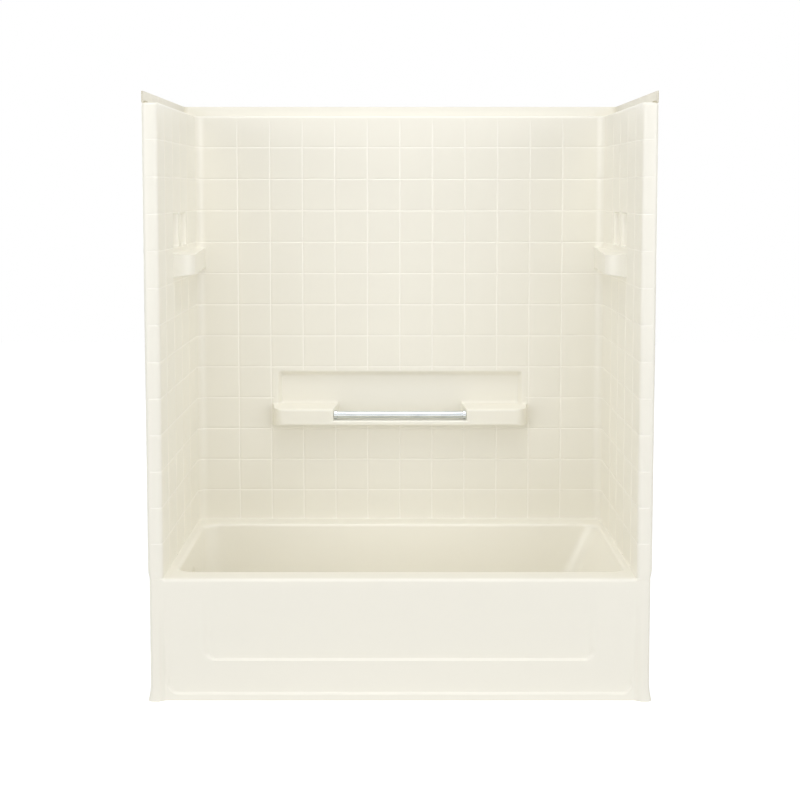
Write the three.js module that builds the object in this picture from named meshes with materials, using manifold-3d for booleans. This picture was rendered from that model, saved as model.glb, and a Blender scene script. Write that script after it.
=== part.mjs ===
// Alcove bath with a three-wall shower surround, in millimetres.
// X runs to the right, Y runs from the front to the back, Z is up.
// The origin is at the middle of the footprint, on the floor.
import * as THREE from "three";
import { mergeVertices } from "three/addons/utils/BufferGeometryUtils.js";
import Module from "manifold-3d";

// Overall sizes
const overallWidth = 1524;
const overallDepth = 762;
const overallHeight = 1829;

// Values that every piece shares
const shellThickness = 5;
const fitGap = 0.3;
const cutOverrun = 2;
const weldDistance = 0.001;
const sealThickness = 2.4;
const seamSealSetback = 3;

// Bath outside
const deckHeight = 376;
const toeFlare = 9;
const toeReach = 5;
const toeHeight = 60;
const frontRollRadius = 26;
const columnWidth = 48;
const skirtHeight = 24;
const skirtSetback = 10;
const apronSetback = 18;
const apronCornerRadius = 35;
const panelSetback = 9;
const panelInset = 107;
const panelFloorHeight = 120;
const panelCornerRadius = 38;
const reliefWidth = 7;
const sideReturn = 60;
const upstandHeight = 20;

// Bath basin
const deckFrontWidth = 71;
const deckBackWidth = 58;
const deckLeftWidth = 17;
const deckRightWidth = 10;
const basinFloorHeight = 65;
const basinRimRadius = 12;
const basinCoveRadius = 40;
const rimCornerRadius = 55;
const floorCornerRadius = 70;
const leftDraft = 6;
const backrestRun = 116;
const frontDraft = 14;
const backDraft = 14;

// Wall surround
const endWallSetback = 52;
const backWallSetback = 32;
const wallSideSetback = 4.5;
const cornerRadius = 31;
const topFlangeHeight = 34;
const topRollRadius = 10;
const columnRollRadius = 14;
const columnReturn = 46;
const lipDepth = 24;
const footLipWidth = 20;

// Shelf unit on the back wall
const nicheHalfWidth = 426;
const nicheDepth = 24;
const nicheTop = 900;
const shelfTop = 782;
const shelfBottom = 727;
const shelfHalfWidth = 441;
const shelfReach = 78;
const shelfCornerRadius = 42;
const shelfInnerHalfWidth = 214;
const troughFloor = 740;

// Towel bar
const barDiameter = 25;
const barHeight = 760;
const barReach = 58;
const ferruleDiameter = 36;
const ferruleThickness = 4;
const ferruleSleeve = 29;
const barEndDepth = 12;

// Soap ledge and bottle recesses on each end wall
const ledgeTop = 1337;
const ledgeBottom = 1272;
const ledgeLength = 449;
const ledgeNoseReach = 64;
const ledgeTailReach = 28;
const ledgeNoseRadius = 30;
const recessBottom = 1360;
const recessTop = 1466;
const recessDepth = 22;
const recessWidth = 100;
const nearRecessFromCorner = 275;
const farRecessFromCorner = 423;

// Boards, feet and braces
const floorBoardThickness = 19;
const floorBoardWidth = 340;
const floorBoardFromDrain = 90;
const floorBoardFromBackrest = 302;
const footDiameter = 76;
const footInset = 70;
const braceWidth = 38;
const braceDepth = 22;
const braceFromMiddle = 340;
const battenDepth = 18;
const battenHeight = 90;
const lowerBattenAboveDeck = 184;
const upperBattenAboveNiche = 280;
const battenEndMargin = 60;

// Screws through the panel lips
const screwDiameter = 5;
const screwHeadDiameter = 11;
const screwHeadHeight = 4;
const screwTip = 6;
const cornerScrewAboveDeck = 144;
const cornerScrewBelowTop = 235;
const cornerScrewCount = 3;
const deckScrewFromSeam = 119;
const deckScrewSpan = 260;

// Waste and overflow
const drainFromLeft = 230;
const drainHoleDiameter = 52;
const drainBarrelDiameter = 46;
const drainBarrelBore = 38;
const drainBarrelLength = 15;
const drainFlangeDiameter = 78;
const drainFlangeThickness = 3.4;
const strainerDiameter = 56;
const strainerThickness = 3;
const strainerHoleDiameter = 7;
const strainerHoleRing = 19;
const strainerHoleCount = 8;
const crossbarWidth = 10;
const crossbarThickness = 5;
const strainerScrewHole = 5;
const drainGasketThickness = 3;
const shoeFlangeDiameter = 74;
const shoeFlangeThickness = 4;
const shoeBodyDiameter = 58;
const shoeBodyBottom = 8;
const shoeStubLength = 42;
const wasteAxisHeight = 32;
const tubeDiameter = 38;
const tubeBore = 34;
const fittingDiameter = 46;
const socketDepth = 14;
const nutDiameter = 52;
const nutLength = 16;
const nutSides = 8;
const risePipeSetback = 34;
const teeTop = 90;
const teeBottom = 1;
const teeSeatHeight = 10;
const teeSeatBore = 27;
const teeStubLength = 36;
const overflowHeight = 255;
const overflowHoleDiameter = 56;
const overflowPadDiameter = 96;
const overflowPadWall = 4;
const overflowPlateDiameter = 74;
const overflowPlateDepth = 9;
const overflowPlateWall = 2.5;
const overflowGasketThickness = 7;
const elbowFlangeDiameter = 80;
const elbowFlangeThickness = 4;
const elbowBore = 36;
const elbowRise = 30;
const elbowDrop = 29;
const overflowScrewOffset = 24;
const overflowScrewDiameter = 4;
const overflowScrewHead = 8;

// Trip lever, linkage and plunger
const leverThrowDegrees = 36;
const leverSection = 5;
const leverHandleReach = 30;
const leverHandleWidth = 12;
const leverPivotBehindPlate = 6;
const leverTail = 7;
const leverHandleLength = 10;
const leverBossDiameter = 9;
const pinDiameter = 3;
const pinLength = 17;
const earThickness = 3;
const earGap = 6;
const earHeight = 11;
const slotWidth = 9;
const slotHeight = 20;
const rodDiameter = 4;
const eyeBore = 9.4;
const eyeWall = 3;
const eyeDepth = 4;
const plungerDiameter = 31;
const plungerLength = 36;

// Facets
const roundSides = 24;
const smallSides = 8;
const cornerSteps = 5;
const rollSteps = 4;

// Places that several pieces share
const frontPlaneY = -overallDepth / 2 + toeReach;
const backPlaneY = overallDepth / 2;
const bathSideX = overallWidth / 2 - toeFlare;
const wallSideX = overallWidth / 2 - wallSideSetback;
const wallFaceX = overallWidth / 2 - endWallSetback;
const wallTopHeight = overallHeight - topFlangeHeight;
const backWallY = backPlaneY - backWallSetback;
const seamX = wallFaceX - cornerRadius;
const seamHalfGap = sealThickness / 2 + fitGap;
const panelBottom = deckHeight + sealThickness + 2 * fitGap;
const rollBottom = deckHeight - frontRollRadius;
const rimLeftX = -wallFaceX + deckLeftWidth;
const rimRightX = wallFaceX - deckRightWidth;
const rimFrontY = frontPlaneY + deckFrontWidth;
const rimBackY = backWallY - deckBackWidth;
const basinMiddleY = (rimFrontY + rimBackY) / 2;
const basinUnderside = basinFloorHeight - shellThickness;
const drainX = -overallWidth / 2 + drainFromLeft;
const risePipeX = -overallWidth / 2 + risePipeSetback;
const boardTop = basinUnderside - fitGap;
const boardBottom = boardTop - floorBoardThickness;
const screwHole = screwDiameter + 2 * fitGap;
const apronHalfWidth = bathSideX - columnWidth;
const panelHalfWidth = apronHalfWidth - panelInset;
const backPanelHalfWidth = seamX - seamHalfGap;
const endPanelSeamX = seamX + seamHalfGap;
const footLipX = wallFaceX + shellThickness + footLipWidth;
const shelfFrontY = backWallY - shelfReach;
const barCentre = [backWallY - barReach, barHeight];
const barEndX = shelfInnerHalfWidth + barEndDepth;
const boardLeftX = drainX + floorBoardFromDrain;
const boardRightX = rimRightX - floorBoardFromBackrest;
const lowerBattenHeight = deckHeight + lowerBattenAboveDeck;
const upperBattenHeight = nicheTop + upperBattenAboveNiche;
const drainCentre = [drainX, basinMiddleY];
const wasteAxis = [basinMiddleY, wasteAxisHeight];
const riseAxis = [risePipeX, basinMiddleY];
const overflowCentre = [basinMiddleY, overflowHeight];
const socketBore = tubeDiameter + 2 * fitGap;

// The flat round pad in the left end of the basin, where the overflow fittings clamp
const padFaceX = rimLeftX + basinRimRadius - overflowPadWall / 2;
const padBackX = padFaceX - overflowPadWall;

// The lever reaches from its pivot to the pipe; its throw lifts the linkage in a straight line
const leverArm = padFaceX - leverPivotBehindPlate - risePipeX;
const linkageTravel = 2 * leverArm * Math.tan(THREE.MathUtils.degToRad(leverThrowDegrees / 2));

// Screw places
const backLipY = backWallY + shellThickness + footLipWidth / 2;
const sideLipX = wallFaceX + shellThickness + footLipWidth / 2;
const backDeckScrews = [-1, 0, 1].map((i) => [i * (seamX - deckScrewFromSeam), backLipY]);
const sideDeckScrews = (side) => [-1, 1].map((i) => [side * sideLipX, (i * deckScrewSpan) / 2]);
const deckScrewPlaces = [...backDeckScrews, ...sideDeckScrews(-1), ...sideDeckScrews(1)];
const lipMiddleY = backWallY + (shellThickness + lipDepth) / 2;
const cornerScrewLowest = deckHeight + cornerScrewAboveDeck;
const cornerScrewHighest = wallTopHeight - cornerScrewBelowTop;
const cornerScrewHeights = [...Array(cornerScrewCount).keys()].map((i) =>
  THREE.MathUtils.lerp(cornerScrewLowest, cornerScrewHighest, i / (cornerScrewCount - 1)),
);
const overflowScrewCentres = [-1, 1].map((side) => [
  basinMiddleY + side * overflowScrewOffset,
  overflowHeight,
]);

// Two places in rising order, mirrored to the left for side -1
const between = (side, near, far) => [side * near, side * far].sort((a, b) => a - b);

const wasm = await Module();
wasm.setup();

// Solids from geometry

// The geometry as a solid whose faces point out, with shared corners merged.
function solidFrom(geometry) {
  const bare = geometry.index ? geometry.toNonIndexed() : geometry;
  const plain = new THREE.BufferGeometry();
  plain.setAttribute("position", bare.getAttribute("position"));
  const merged = mergeVertices(plain, weldDistance);
  const corners = [...merged.index.array];
  const kept = [];
  for (let i = 0; i < corners.length; i += 3) {
    const [a, b, c] = corners.slice(i, i + 3);
    if (a !== b && b !== c && c !== a) kept.push([a, b, c]);
  }
  const vertProperties = merged.attributes.position.array;
  const build = (triangles) =>
    new wasm.Manifold(
      new wasm.Mesh({ numProp: 3, vertProperties, triVerts: new Uint32Array(triangles.flat()) }),
    );
  const made = build(kept);
  return made.volume() < 0 ? build(kept.map(([a, b, c]) => [a, c, b])) : made;
}

// A closed surface from four-cornered faces, each a list of points in order.
function solidFromQuads(quads) {
  const points = quads.flatMap(([a, b, c, d]) => [a, b, c, a, c, d]);
  const geometry = new THREE.BufferGeometry();
  const numbers = new Float32Array(points.flat());
  geometry.setAttribute("position", new THREE.BufferAttribute(numbers, 3));
  return solidFrom(geometry);
}

// A slab between two grids of points that have the same rows and columns.
function slab(front, back) {
  const quads = [];
  const lastColumn = front.length - 1;
  const lastRow = front[0].length - 1;
  for (let i = 0; i < lastColumn; i++) {
    for (let j = 0; j < lastRow; j++) {
      quads.push([front[i][j], front[i + 1][j], front[i + 1][j + 1], front[i][j + 1]]);
      quads.push([back[i][j], back[i][j + 1], back[i + 1][j + 1], back[i + 1][j]]);
    }
    quads.push([front[i][0], back[i][0], back[i + 1][0], front[i + 1][0]]);
    quads.push([front[i][lastRow], front[i + 1][lastRow], back[i + 1][lastRow], back[i][lastRow]]);
  }
  for (let j = 0; j < lastRow; j++) {
    quads.push([front[0][j], front[0][j + 1], back[0][j + 1], back[0][j]]);
    const [lastFront, lastBack] = [front[lastColumn], back[lastColumn]];
    quads.push([lastFront[j], lastBack[j], lastBack[j + 1], lastFront[j + 1]]);
  }
  return solidFromQuads(quads);
}

// A skin through closed rings of points, capped flat at both ends.
function loft(rings) {
  const quads = [];
  const count = rings[0].length;
  for (let level = 0; level + 1 < rings.length; level++) {
    for (let i = 0; i < count; i++) {
      const next = (i + 1) % count;
      quads.push([rings[level][i], rings[level][next], rings[level + 1][next], rings[level + 1][i]]);
    }
  }
  const first = rings[0];
  const last = rings[rings.length - 1];
  for (let i = 1; i + 1 < count; i++) {
    quads.push([first[0], first[i + 1], first[i], first[0]]);
    quads.push([last[0], last[i], last[i + 1], last[0]]);
  }
  return solidFromQuads(quads);
}

// An outline drawn in two axes and extruded along the third, from one place to another.
const axisTurns = {
  x: new THREE.Matrix4().set(0, 0, 1, 0, 1, 0, 0, 0, 0, 1, 0, 0, 0, 0, 0, 1),
  y: new THREE.Matrix4().set(1, 0, 0, 0, 0, 0, 1, 0, 0, 1, 0, 0, 0, 0, 0, 1),
  z: new THREE.Matrix4(),
};

function prism(axis, outline, from, to) {
  const shape = new THREE.Shape(outline.map(([u, v]) => new THREE.Vector2(u, v)));
  const geometry = new THREE.ExtrudeGeometry(shape, { depth: to - from, bevelEnabled: false });
  geometry.translate(0, 0, from);
  geometry.applyMatrix4(axisTurns[axis]);
  return solidFrom(geometry);
}

function box(x0, x1, y0, y1, z0, z1) {
  const geometry = new THREE.BoxGeometry(x1 - x0, y1 - y0, z1 - z0);
  geometry.translate((x0 + x1) / 2, (y0 + y1) / 2, (z0 + z1) / 2);
  return solidFrom(geometry);
}

// A round bar along one axis; centre gives its place in the other two axes.
function rod(axis, [u, v], diameter, from, to, sides = roundSides) {
  const radius = diameter / 2;
  const outline = [];
  for (let i = 0; i < sides; i++) {
    const angle = (2 * Math.PI * (i + 1 / 2)) / sides;
    outline.push([u + radius * Math.cos(angle), v + radius * Math.sin(angle)]);
  }
  return prism(axis, outline, from, to);
}

function ring(axis, centre, outer, inner, from, to, sides = roundSides) {
  const hole = rod(axis, centre, inner, from - cutOverrun, to + cutOverrun, sides);
  return rod(axis, centre, outer, from, to, sides).subtract(hole);
}

// Points on an arc in degrees, both ends included.
function arc([u, v], radius, from, to, steps = cornerSteps) {
  const points = [];
  for (let i = 0; i <= steps; i++) {
    const angle = THREE.MathUtils.degToRad(from + ((to - from) * i) / steps);
    points.push([u + radius * Math.cos(angle), v + radius * Math.sin(angle)]);
  }
  return points;
}

function roundedRectangle(u0, u1, v0, v1, radius, steps = cornerSteps) {
  return [
    ...arc([u1 - radius, v0 + radius], radius, -90, 0, steps),
    ...arc([u1 - radius, v1 - radius], radius, 0, 90, steps),
    ...arc([u0 + radius, v1 - radius], radius, 90, 180, steps),
    ...arc([u0 + radius, v0 + radius], radius, 180, 270, steps),
  ];
}

const joined = (...solids) => solids.reduce((a, b) => a.add(b));
const cut = (body, ...tools) => tools.reduce((a, b) => a.subtract(b), body);

// Materials
const finishes = {
  biscuitGloss: { color: 0xeeebdc, roughness: 0.25, metalness: 0 },
  biscuitSatin: { color: 0xeeebdc, roughness: 0.45, metalness: 0 },
  chrome: { color: 0xe7e9e8, roughness: 0.12, metalness: 1 },
  brass: { color: 0xb9974f, roughness: 0.35, metalness: 1 },
  steel: { color: 0xc3c5c8, roughness: 0.4, metalness: 1 },
  blackPlastic: { color: 0x2b2c2e, roughness: 0.6, metalness: 0 },
  rubber: { color: 0x3a3a3a, roughness: 0.85, metalness: 0 },
  sealFoam: { color: 0xd8d5c8, roughness: 0.9, metalness: 0 },
  plywood: { color: 0xc7a777, roughness: 0.8, metalness: 0 },
};

const surround = new THREE.Group();

function add(name, solid, finish) {
  const mesh = solid.getMesh();
  const geometry = new THREE.BufferGeometry();
  geometry.setAttribute("position", new THREE.BufferAttribute(mesh.vertProperties, 3));
  geometry.setIndex(new THREE.BufferAttribute(mesh.triVerts, 1));
  geometry.computeVertexNormals();
  const piece = new THREE.Mesh(geometry, new THREE.MeshStandardMaterial(finishes[finish]));
  piece.name = name;
  surround.add(piece);
  return piece;
}

// Bath shell

// 1 inside a pocket that is open at its top and round at its lower corners, 0 outside.
function pocketShare(x, z, halfWidth, floor, radius) {
  const right = Math.abs(x) - (halfWidth - radius);
  const below = floor + radius - z;
  const corner = right > 0 && below > 0 ? Math.hypot(right, below) : Math.max(right, below);
  return 1 - THREE.MathUtils.smoothstep(corner - radius, -reliefWidth, 0);
}

// How far the apron lies behind the column face at a place.
function apronDepthAt(x, z) {
  const betweenColumns = pocketShare(x, z, apronHalfWidth, -overallHeight, apronCornerRadius);
  const aboveSkirt = pocketShare(x, z, apronHalfWidth, skirtHeight, apronCornerRadius);
  const inPanel = pocketShare(x, z, panelHalfWidth, panelFloorHeight, panelCornerRadius);
  const faceDepth = apronSetback * (1 - z / rollBottom);
  const skirtDepth = Math.min(skirtSetback, faceDepth);
  const panelFade = Math.min(1, (rollBottom - z) / (rollBottom - panelFloorHeight));
  const base = THREE.MathUtils.lerp(skirtDepth, faceDepth, aboveSkirt) * betweenColumns;
  return base + panelSetback * panelFade * inPanel;
}

// How far a toe stands out: 1 at the floor, 0 from the top of the toe upwards.
const toeShare = (z) => (1 - Math.min(1, z / toeHeight)) ** 2;

const cornerLines = (edge, radius) => [edge - radius, edge - radius / 2, edge - reliefWidth, edge];
const floorLines = (floor, radius) => [floor, floor + reliefWidth, floor + radius / 2, floor + radius];
const apronRows = [
  0,
  skirtHeight / 2,
  ...floorLines(skirtHeight, apronCornerRadius),
  (skirtHeight + apronCornerRadius + panelFloorHeight) / 2,
  ...floorLines(panelFloorHeight, panelCornerRadius),
  (panelFloorHeight + panelCornerRadius + rollBottom) / 2,
  rollBottom,
];

// The apron with the faces of both front columns, from the floor to the foot of the roll.
function apron() {
  const half = [
    panelHalfWidth / 2,
    ...cornerLines(panelHalfWidth, panelCornerRadius),
    ...cornerLines(apronHalfWidth, apronCornerRadius),
    bathSideX,
  ];
  const columns = [...half.map((x) => -x).reverse(), 0, ...half];
  const point = (x, z, behind) => {
    const flare = Math.abs(x) === bathSideX ? toeFlare * toeShare(z) : 0;
    const reach = Math.abs(x) >= apronHalfWidth ? toeReach * toeShare(z) : 0;
    return [x + Math.sign(x) * flare, frontPlaneY + apronDepthAt(x, z) + behind - reach, z];
  };
  const grid = (behind) => columns.map((x) => apronRows.map((z) => point(x, z, behind)));
  return slab(grid(0), grid(shellThickness));
}

// The side of a front column, which turns back from the apron along the end of the bath.
function columnSide(side) {
  const point = (behind, z, inward) => {
    const reach = behind === 0 ? toeReach * toeShare(z) : 0;
    return [side * (bathSideX + toeFlare * toeShare(z) - inward), frontPlaneY + behind - reach, z];
  };
  const grid = (inward) => [0, sideReturn].map((behind) => apronRows.map((z) => point(behind, z, inward)));
  return slab(grid(0), grid(shellThickness));
}

// The rolled front edge and the flat deck behind it, with the roll closed at each end.
function rollAndDeck() {
  const centre = [frontPlaneY + frontRollRadius, rollBottom];
  const foot = rollBottom - cutOverrun;
  const outline = [
    [frontPlaneY, foot],
    ...arc(centre, frontRollRadius, 180, 90, rollSteps),
    [backPlaneY, deckHeight],
    [backPlaneY, deckHeight - shellThickness],
    ...arc(centre, frontRollRadius - shellThickness, 90, 180, rollSteps),
    [frontPlaneY + shellThickness, foot],
  ];
  const endOutline = [
    [frontPlaneY, foot],
    ...arc(centre, frontRollRadius, 180, 90, rollSteps),
    [frontPlaneY + sideReturn, deckHeight],
    [frontPlaneY + sideReturn, foot],
  ];
  const end = (side) => prism("x", endOutline, ...between(side, bathSideX - shellThickness, bathSideX));
  return joined(prism("x", outline, -bathSideX, bathSideX), end(-1), end(1));
}

// The flange that stands up from the deck along the back and both ends, behind the wall panels.
function upstand() {
  const bottom = deckHeight - shellThickness;
  const top = deckHeight + upstandHeight;
  const back = box(-bathSideX, bathSideX, backPlaneY - shellThickness, backPlaneY, bottom, top);
  const end = (side) => {
    const [x0, x1] = between(side, bathSideX - shellThickness, bathSideX);
    return box(x0, x1, frontPlaneY + sideReturn, backPlaneY, bottom, top);
  };
  return joined(back, end(-1), end(1));
}

// One level of the basin: the rim drawn in by an inset, with a share of each side's slope.
function basinRing(z, inset, slopeShare, grow) {
  const radius = THREE.MathUtils.lerp(rimCornerRadius, floorCornerRadius, slopeShare) + grow;
  const outline = roundedRectangle(
    rimLeftX + inset + leftDraft * slopeShare - grow,
    rimRightX - inset - backrestRun * slopeShare + grow,
    rimFrontY + inset + frontDraft * slopeShare - grow,
    rimBackY - inset - backDraft * slopeShare + grow,
    radius,
  );
  return outline.map(([x, y]) => [x, y, z]);
}

// The basin as a solid, grown outwards and downwards by the thickness of its wall.
function basinForm(grow, top) {
  const rings = [basinRing(top, 0, 0, grow)];
  for (let i = 0; i <= rollSteps; i++) {
    const turn = ((Math.PI / 2) * i) / rollSteps;
    const z = deckHeight - basinRimRadius * (1 - Math.cos(turn));
    if (z < top) rings.push(basinRing(z, basinRimRadius * Math.sin(turn), 0, grow));
  }
  for (let i = 0; i <= rollSteps; i++) {
    const turn = ((Math.PI / 2) * i) / rollSteps;
    const z = basinFloorHeight - grow + basinCoveRadius * (1 - Math.sin(turn));
    rings.push(basinRing(z, basinRimRadius + basinCoveRadius * (1 - Math.cos(turn)), 1, grow));
  }
  return loft(rings);
}

function bathShell() {
  const wall = basinForm(shellThickness, deckHeight - shellThickness / 2);
  const pad = rod("x", overflowCentre, overflowPadDiameter, padBackX, padFaceX + overflowPadWall);
  const body = joined(apron(), columnSide(-1), columnSide(1), rollAndDeck(), upstand(), wall, pad);
  const hollow = basinForm(0, deckHeight + cutOverrun);
  const padFaceDiameter = overflowPadDiameter - 2 * overflowPadWall;
  const padFace = rod("x", overflowCentre, padFaceDiameter, padFaceX, 0);
  const drainHole = rod("z", drainCentre, drainHoleDiameter, 0, deckHeight);
  const overflowHole = rod("x", overflowCentre, overflowHoleDiameter, -overallWidth / 2, 0);
  const screwHoles = deckScrewPlaces.map((place) =>
    rod("z", place, screwHole, deckHeight - 2 * shellThickness, deckHeight + cutOverrun, smallSides),
  );
  return cut(body, hollow, padFace, drainHole, overflowHole, ...screwHoles);
}

// Wall panels

const lipScrewHoles = (places) =>
  places.map((place) =>
    rod("z", place, screwHole, deckHeight, panelBottom + shellThickness + cutOverrun, smallSides),
  );

const seamScrewHoles = (side) =>
  cornerScrewHeights.map((z) =>
    rod("x", [lipMiddleY, z], screwHole, ...between(side, seamX - lipDepth, seamX + lipDepth), smallSides),
  );

// The back panel's section: foot lip, face, roll over the top edge, and the flange above it.
function backWallSection() {
  const rollCentre = [backWallY + topRollRadius, wallTopHeight - topRollRadius];
  const footY = backWallY + shellThickness + footLipWidth;
  return [
    [backWallY, panelBottom],
    ...arc(rollCentre, topRollRadius, 180, 90, rollSteps),
    [backPlaneY - shellThickness, wallTopHeight],
    [backPlaneY - shellThickness, overallHeight],
    [backPlaneY, overallHeight],
    [backPlaneY, wallTopHeight - shellThickness],
    ...arc(rollCentre, topRollRadius - shellThickness, 90, 180, rollSteps),
    [backWallY + shellThickness, panelBottom + shellThickness],
    [footY, panelBottom + shellThickness],
    [footY, panelBottom],
  ];
}

// The plan of the shelf unit, drawn in by an inset, back to the plane given.
// An end is round at its front corner unless it is cut off square at a place of its own.
function shelfPlan(inset, backY, squareLeftX, squareRightX) {
  const outerX = shelfHalfWidth - inset;
  const frontY = shelfFrontY + inset;
  const radius = shelfCornerRadius - inset;
  const roundLeft = arc([-outerX + radius, frontY + radius], radius, 180, 270);
  const roundRight = arc([outerX - radius, frontY + radius], radius, -90, 0);
  const left = squareLeftX === undefined ? roundLeft : [[squareLeftX, frontY]];
  const right = squareRightX === undefined ? roundRight : [[squareRightX, frontY]];
  return [[left[0][0], backY], ...left, ...right, [right[right.length - 1][0], backY]];
}

function backWallPanel() {
  const lip = (side) => {
    const [x0, x1] = between(side, backPanelHalfWidth - shellThickness, backPanelHalfWidth);
    return box(x0, x1, backWallY, backWallY + lipDepth, panelBottom, wallTopHeight - shellThickness / 2);
  };
  const nicheBack = backWallY + nicheDepth;
  const nicheShell = box(
    -nicheHalfWidth - shellThickness,
    nicheHalfWidth + shellThickness,
    backWallY,
    nicheBack + shellThickness,
    troughFloor - shellThickness,
    nicheTop + shellThickness,
  );
  const shelves = prism("z", shelfPlan(0, backWallY + shellThickness), shelfBottom, shelfTop);
  const innerX = shelfInnerHalfWidth + shellThickness;
  const openBackY = backPlaneY + cutOverrun;
  const hollowPlans = [
    shelfPlan(shellThickness, openBackY, undefined, -innerX),
    shelfPlan(shellThickness, openBackY, innerX, undefined),
  ];
  const hollows = hollowPlans.map((plan) =>
    prism("z", plan, shelfBottom + shellThickness, shelfTop - shellThickness),
  );
  const frontY = shelfFrontY - cutOverrun;
  const niche = box(-nicheHalfWidth, nicheHalfWidth, frontY, nicheBack, shelfTop, nicheTop);
  const trough = box(
    -shelfInnerHalfWidth,
    shelfInnerHalfWidth,
    frontY,
    nicheBack,
    troughFloor,
    shelfTop + cutOverrun,
  );
  const barHoles = rod("x", barCentre, ferruleSleeve + 2 * fitGap, -innerX - cutOverrun, innerX + cutOverrun);
  const sheet = prism("x", backWallSection(), -backPanelHalfWidth, backPanelHalfWidth);
  return cut(
    joined(sheet, lip(-1), lip(1), nicheShell, shelves),
    ...hollows,
    niche,
    trough,
    barHoles,
    ...lipScrewHoles(backDeckScrews),
    ...seamScrewHoles(-1),
    ...seamScrewHoles(1),
  );
}

// The face of an end panel in plan, from the seam round the corner to the side of its column.
function endWallFace(side, offset) {
  const fillet = cornerRadius - seamHalfGap;
  const filletCentre = [wallFaceX - fillet, backWallY - fillet];
  const innerRoll = [wallFaceX + columnRollRadius, frontPlaneY + columnRollRadius];
  const outerRoll = [wallSideX - columnRollRadius, frontPlaneY + columnRollRadius];
  const lastTurn = THREE.MathUtils.radToDeg(Math.acos(offset / (fillet + offset)));
  const path = [
    ...arc(filletCentre, fillet + offset, lastTurn, 0),
    ...arc(innerRoll, columnRollRadius - offset, 180, 270),
    ...arc(outerRoll, columnRollRadius - offset, 270, 360),
    [wallSideX - offset, frontPlaneY + columnReturn],
  ];
  return path.map(([x, y]) => [side * x, y]);
}

// The soap ledge in plan: a round nose towards the front, narrowing to the corner.
function ledgePlan(side, inset, wallX) {
  const noseX = wallFaceX - ledgeNoseReach + inset;
  const noseY = backWallY - cornerRadius - ledgeLength + inset;
  const radius = ledgeNoseRadius - inset;
  const plan = [
    [wallX, noseY],
    ...arc([noseX + radius, noseY + radius], radius, 270, 180),
    [wallFaceX - ledgeTailReach + inset, backWallY - inset],
    [wallX, backWallY - inset],
  ];
  return plan.map(([x, y]) => [side * x, y]);
}

// A bottle recess in plan: half an oval sunk into the wall, grown by the thickness of its skin.
function recessPlan(side, fromCorner, grow) {
  const middleY = backWallY - fromCorner;
  const steps = 2 * cornerSteps;
  const plan = [];
  for (let i = 0; i <= steps; i++) {
    const turn = (Math.PI * i) / steps;
    const along = (recessWidth / 2 + grow) * Math.cos(turn);
    plan.push([side * (wallFaceX + (recessDepth + grow) * Math.sin(turn)), middleY + along]);
  }
  return plan;
}

function endWallPanel(side) {
  const seamEdge = side * endPanelSeamX;
  const lipX = side * (endPanelSeamX + shellThickness);
  const lipBack = backWallY + lipDepth;
  const face = endWallFace(side, 0);
  const back = endWallFace(side, shellThickness).reverse();
  const lip = [[lipX, lipBack], [seamEdge, lipBack]];
  const wall = prism("z", [...face, ...back, ...lip], panelBottom, wallTopHeight);
  const capPlan = [...face, [side * wallSideX, backPlaneY], [seamEdge, backPlaneY]];
  const cap = prism("z", capPlan, wallTopHeight - shellThickness, wallTopHeight);
  const [sideX0, sideX1] = between(side, wallSideX - shellThickness, wallSideX);
  const flangeBottom = wallTopHeight - shellThickness;
  const flangeFront = frontPlaneY + columnRollRadius;
  const sideFlange = box(sideX0, sideX1, flangeFront, backPlaneY, flangeBottom, overallHeight);
  const [backX0, backX1] = between(side, endPanelSeamX, wallSideX);
  const backFlangeY = backPlaneY - shellThickness;
  const backFlange = box(backX0, backX1, backFlangeY, backPlaneY, flangeBottom, overallHeight);
  const [footX0, footX1] = between(side, wallFaceX + shellThickness / 2, footLipX);
  const footFront = frontPlaneY + columnReturn;
  const footTop = panelBottom + shellThickness;
  const foot = box(footX0, footX1, footFront, backWallY - cornerRadius, panelBottom, footTop);
  const behindWallX = wallFaceX + shellThickness;
  const ledge = prism("z", ledgePlan(side, 0, wallFaceX + shellThickness / 2), ledgeBottom, ledgeTop);
  const hollowPlan = ledgePlan(side, shellThickness, behindWallX + cutOverrun);
  const ledgeHollow = prism("z", hollowPlan, ledgeBottom + shellThickness, ledgeTop - shellThickness);
  const recessCentres = [nearRecessFromCorner, farRecessFromCorner];
  const recessShells = recessCentres.map((centre) => {
    const plan = recessPlan(side, centre, shellThickness);
    return prism("z", plan, recessBottom - shellThickness, recessTop + shellThickness);
  });
  const recesses = recessCentres.map((centre) =>
    prism("z", recessPlan(side, centre, 0), recessBottom, recessTop),
  );
  return cut(
    joined(wall, cap, sideFlange, backFlange, foot, ledge, ...recessShells),
    ledgeHollow,
    ...recesses,
    ...lipScrewHoles(sideDeckScrews(side)),
    ...seamScrewHoles(side),
  );
}

// Towel bar

const towelBar = () => rod("x", barCentre, barDiameter, -barEndX, barEndX);

// A flanged bush that lines the hole in a shelf's inner side and holds one end of the bar.
function barFerrule(side) {
  const faceX = shelfInnerHalfWidth - fitGap;
  const flange = rod("x", barCentre, ferruleDiameter, ...between(side, faceX - ferruleThickness, faceX));
  const sleeve = rod("x", barCentre, ferruleSleeve, ...between(side, faceX - ferruleThickness, barEndX));
  const bore = rod("x", barCentre, barDiameter + 2 * fitGap, -overallWidth / 2, overallWidth / 2);
  return flange.add(sleeve).subtract(bore);
}

// Boards, feet, braces and battens

const floorBoard = () =>
  box(
    boardLeftX,
    boardRightX,
    basinMiddleY - floorBoardWidth / 2,
    basinMiddleY + floorBoardWidth / 2,
    boardBottom,
    boardTop,
  );

function supportFoot(alongSide, acrossSide) {
  const x = alongSide < 0 ? boardLeftX + footInset : boardRightX - footInset;
  const y = basinMiddleY + acrossSide * (floorBoardWidth / 2 - footInset);
  return rod("z", [x, y], footDiameter, 0, boardBottom - fitGap);
}

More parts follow.
